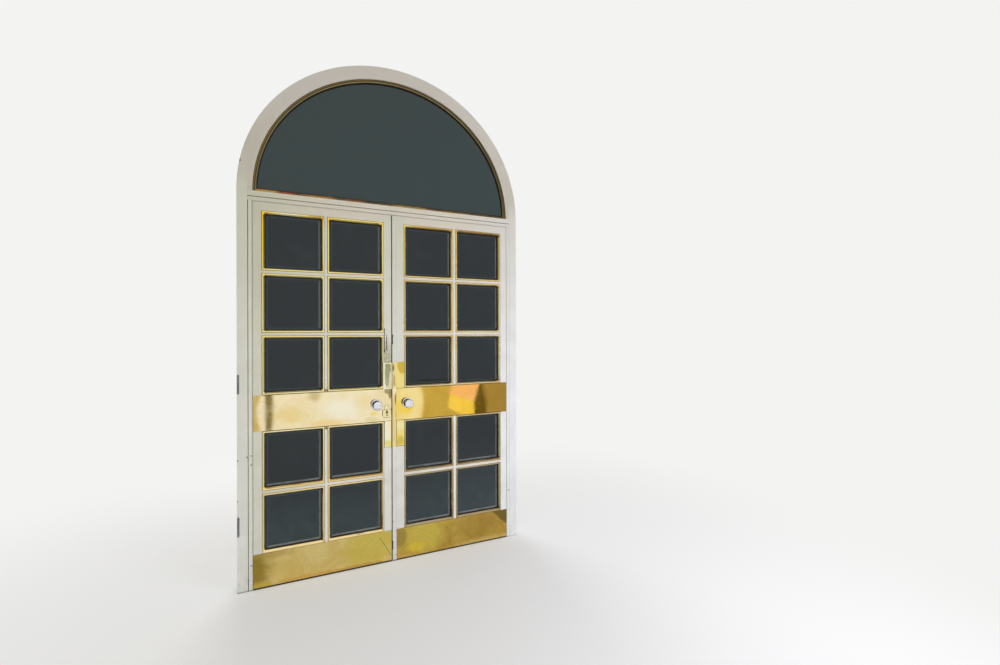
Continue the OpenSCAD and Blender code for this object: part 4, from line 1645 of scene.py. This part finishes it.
@dataclass
class FanlightSeal:
    """The dark seal between the fanlight's glass and its bead, which also stands for the shade under the
    bead.
    """

    bead_width: float
    lap: float = 1 * MM
    width: float = 4.5 * MM
    depth: float = 2 * MM
    sides: int = 144

    def build(self) -> None:
        """Models the seal as a half disc that is inset and extruded."""
        bead_low, bead_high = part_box("fanlight_bead")
        glass_low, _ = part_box("fanlight_glass")
        outer = (bead_high.x - bead_low.x) / 2 - self.bead_width + self.lap
        sill = bead_low.z + self.bead_width - self.lap
        seal = started(bpy.ops.mesh.primitive_circle_add, vertices=self.sides, radius=outer, fill_type="NGON",
                       location=(OPENING.middle, glass_low.y - self.depth / 2, OPENING.spring),
                       rotation=(QUARTER, 0, 0))
        applied()
        with editing():
            bpy.ops.mesh.bisect(plane_co=(OPENING.middle, 0, sill), plane_no=(0, 0, 1), clear_inner=True)
            bpy.ops.mesh.select_all(action="SELECT")
            banded(self.lap + self.width, self.depth)
        fitted(settled("fanlight_seal", seal), "frame", "dark_glass", Finish.SEAL.material)


@dataclass
class FrameSeals:
    """The pale strips set back in the running gap round the leaves."""

    width: float = 3.6 * MM
    back: float = 0.8 * MM
    head_back: float = 3 * MM
    thick: float = 4 * MM
    foot: float = 2 * MM

    def build(self) -> None:
        """Models the left, right and head strips on the stops' edges."""
        _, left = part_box("left_stop")
        right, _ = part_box("right_stop")
        head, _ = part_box("head_stop")
        near = OPENING.street + self.back
        far = near + self.thick
        inner_left, inner_right = left.x + self.width, right.x - self.width
        strips = [
            flat_strip(Vector((left.x, near, self.foot)), Vector((inner_left, far, head.z))),
            flat_strip(Vector((inner_right, near, self.foot)), Vector((right.x, far, head.z))),
            flat_strip(Vector((inner_left, OPENING.street + self.head_back, head.z - self.width)),
                       Vector((inner_right, far, head.z))),
        ]
        fitted(joined("frame_seals", strips), "frame", "cream_paint", Finish.PALE_SEAL.material)


@dataclass
class SweepSeal:
    """The dark brush strip that closes the gap between a leaf and the floor, and also stands for the shade in
    that gap.
    """

    side: str
    thick: float = 4 * MM
    proud: float = 0.8 * MM
    lap: float = 3 * MM
    foot: float = 0.6 * MM

    def build(self) -> None:
        """Models the strip under the leaf's street face."""
        low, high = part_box(f"{self.side}_kick_plate")
        near = low.y - self.proud
        strip = flat_strip(Vector((low.x, near, self.foot)),
                           Vector((high.x, near + self.thick, low.z + self.lap)))
        fitted(settled(f"{self.side}_sweep", strip), f"{self.side}_leaf", "dark_glass", Finish.SEAL.material)


@dataclass
class HingeScrews:
    """The slotted screws that hold the hinge plates of one body, on the faces that look into the joints."""

    body: str
    radius: float = 4 * MM
    head: float = 0.5 * MM
    sides: int = 24
    top_facing: float = 0.9
    rim_share: float = 0.5
    slot_width: float = 1 * MM
    saw_length: float = 12 * MM
    plate_width: float = 23 * MM
    stagger: float = 4.5 * MM
    heights: tuple[float, ...] = (-38 * MM, -13 * MM, 13 * MM, 38 * MM)
    first_turn: float = 20
    turn_step: float = 37

    def model(self) -> Object:
        """Models one screw head: a low disc with an eased rim and a sawn slot.

        Returns:
            The screw head.
        """
        disc = started(bpy.ops.mesh.primitive_cylinder_add, vertices=self.sides, radius=self.radius,
                       depth=self.head * 2, location=(0, 0, 0))
        with editing():
            bpy.ops.mesh.select_all(action="DESELECT")
        for face in disc.data.polygons:
            face.select = face.normal.z > self.top_facing
        with editing(everything=False):
            bpy.ops.mesh.bevel(offset=self.head * self.rim_share, segments=ROUND_STEPS)
        saw = started(bpy.ops.mesh.primitive_cube_add, size=1, location=(0, 0, self.head))
        saw.scale = (self.saw_length, self.slot_width, self.head)
        only(disc)
        cut = disc.modifiers.new("slot", "BOOLEAN")
        cut.object = saw
        cut.operation = "DIFFERENCE"
        bpy.ops.object.modifier_apply(modifier=cut.name)
        bpy.data.objects.remove(saw)
        return disc

    def faces(self) -> Pair:
        """Gives the left and the right face that the body's hinge plates lie in.

        Returns:
            Their X.
        """
        if self.body == "frame":
            _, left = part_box("left_jamb")
            right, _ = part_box("right_jamb")
        else:
            left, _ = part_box("left_hinge_stile")
            _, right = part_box("right_hinge_stile")
        return left.x, right.x

    def places(self, node: str) -> Iterator[Matrix]:
        """Gives the place and turn of each screw, four in each plate.

        Args:
            node: The CAD node of the hinges.

        Yields:
            A screw's matrix.
        """
        left_face, right_face = self.faces()
        inwards = 1 if self.body == "frame" else -1
        for low, high in islands(node):
            middle = (low + high) / 2
            on_left = middle.x < OPENING.middle
            facing = Vector((inwards if on_left else -inwards, 0, 0))
            aim = facing.to_track_quat("Z", "Y").to_matrix().to_4x4()
            for number, height in enumerate(self.heights):
                y = low.y + self.plate_width / 2 + self.stagger * (-1) ** number
                place = Vector((left_face if on_left else right_face, y, middle.z + height))
                turn = math.radians(self.first_turn + self.turn_step * number)
                yield Matrix.Translation(place) @ aim @ Matrix.Rotation(turn, 4, "Z")

    def build(self) -> None:
        """Sets copies of the screw in every plate."""
        node = "frame_hinges" if self.body == "frame" else self.body.replace("leaf", "hinges")
        first = self.model()
        copies = []
        for place in self.places(node):
            only(first)
            bpy.ops.object.duplicate()
            screw = bpy.context.active_object
            screw.matrix_world = place
            copies.append(screw)
        bpy.data.objects.remove(first)
        fitted(joined(f"{node}_screws", copies), self.body, SLOTS[node], Finish.STEEL.material)


@dataclass
class DoorFrame:
    """The fixed frame: jambs, transom, stops, casing, fanlight and hinges."""

    ease: float = 0.5 * MM
    ring_ease: float = 0.6 * MM
    fan_bead_width: float = 18 * MM

    def build(self) -> None:
        """Rounds and dresses the frame's pieces."""
        members = {"left_jamb": Finish.UPRIGHT_PAINT, "right_jamb": Finish.RIGHT_PAINT,
                   "left_stop": Finish.UPRIGHT_PAINT, "right_stop": Finish.RIGHT_PAINT,
                   "transom": Finish.LEVEL_PAINT, "head_stop": Finish.LEVEL_PAINT,
                   "arch_casing": Finish.CASING_PAINT, "arch_stop": Finish.RING_PAINT,
                   "fanlight_bead": Finish.BRONZE}
        for node, finish in members.items():
            EasedMember(node, self.ring_ease if node == "arch_stop" else self.ease).build(finish.material)
        dress(cad("fanlight_glass"), Finish.FAN_GLASS.material)
        for node in ("frame_hinges", "side_hinge_halves"):
            dress(cad(node), Finish.STEEL.material)
        FanlightSeal(self.fan_bead_width).build()
        FrameSeals().build()
        HingeScrews("frame").build()


@dataclass
class Leaf:
    """One glazed leaf: its rails and stiles, panes, beads, plates and knobs."""

    side: str
    uprights: dict[str, Finish]
    beads: Finish
    plates: dict[str, Finish]
    ease: float = 0.35 * MM
    plate_ease: float = 0.5 * MM
    bead_ease: float = 1.3 * MM
    bead_segments: int = 3
    bead_cover: float = 11.5 * MM
    seal_width: float = 5 * MM
    seal_depth: float = 2.4 * MM
    seal_proud: float = 0.6 * MM
    bed_outset: float = 2.6 * MM
    bed_width: float = 3.2 * MM
    bed_depth: float = 1 * MM
    bed_proud: float = 0.3 * MM

    def eased(self, parts: dict[str, Finish], width: float) -> None:
        """Rounds and dresses some of the leaf's members.

        Args:
            parts: The finish of each member, by its name without the side.
            width: Width of the rounding.
        """
        for part, finish in parts.items():
            EasedMember(f"{self.side}_{part}", width).build(finish.material)

    def glazing(self) -> None:
        """Dresses the panes, rounds their beads and adds the dark seals, which also stand for the shade under
        the beads, and the putty that the beads lie in.
        """
        dress(cad(f"{self.side}_panes"), Finish.PANE_GLASS.material)
        EasedMember(f"{self.side}_beads", self.bead_ease, self.bead_segments).build(self.beads.material)
        low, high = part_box(f"{self.side}_panes")
        seals = PaneRings(self.side, "pane_seals", "dark_glass", -self.bead_cover, self.seal_width,
                          low.y - self.seal_proud, self.seal_depth)
        seals.build((low.y + high.y) / 2, Finish.SEAL.material)
        low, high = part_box(f"{self.side}_hinge_stile")
        beds = PaneRings(self.side, "bead_beds", "cream_paint", self.bed_outset, self.bed_width,
                         low.y - self.bed_proud, self.bed_depth)
        beds.build((low.y + high.y) / 2, Finish.PUTTY.material)

    def build(self) -> None:
        """Builds and dresses the whole leaf."""
        self.eased(self.uprights, self.ease)
        rails = ("top_rail", "lock_rail", "bottom_rail", "glazing_bars")
        self.eased(dict.fromkeys(rails, Finish.LEVEL_PAINT), self.ease)
        self.glazing()
        self.eased(self.plates, self.plate_ease)
        dress(cad(f"{self.side}_knobs"), Finish.CHROME.material)
        dress(cad(f"{self.side}_hinges"), Finish.STEEL.material)
        HingeScrews(f"{self.side}_leaf").build()
        SweepSeal(self.side).build()


@dataclass
class MeetingStrip:
    """The strip on the right leaf that laps the left one, and its brass cover."""

    ease: float = 1 * MM
    cover_ease: float = 0.5 * MM

    def build(self) -> None:
        """Rounds and dresses the strip and its cover."""
        EasedMember("meeting_strip", self.ease).build(Finish.STRIP_PAINT.material)
        EasedMember("strip_cover", self.cover_ease).build(Finish.COVER_BRASS.material)


LEAVES = (
    Leaf("left",
         {"hinge_stile": Finish.STILE_PAINT, "meeting_stile": Finish.WORN_PAINT,
          "glazing_posts": Finish.POST_PAINT},
         Finish.BEAD_BRASS,
         {"lock_plate": Finish.PALE_BRASS, "kick_plate": Finish.PALE_KICK, "stile_plate": Finish.LEMON_BRASS,
          "strike_box": Finish.STRIKE_BRASS, "guard": Finish.GUARD_BRASS}),
    Leaf("right",
         {"hinge_stile": Finish.RIGHT_PAINT, "meeting_stile": Finish.UPRIGHT_PAINT,
          "glazing_posts": Finish.RIGHT_PAINT},
         Finish.DIM_BEAD_BRASS,
         {"lock_plate": Finish.GOLD_BRASS, "kick_plate": Finish.GOLD_KICK,
          "stile_plates": Finish.YELLOW_BRASS}),
)


def main() -> None:
    """Builds the camera, the studio and the door's looks in order."""
    logging.basicConfig(level=logging.INFO, format="%(name)s: %(message)s")
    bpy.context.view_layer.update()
    Viewpoint().build()
    Studio().build()
    DoorFrame().build()
    for leaf in LEAVES:
        leaf.build()
    MeetingStrip().build()


if __name__ == "__main__":
    main()
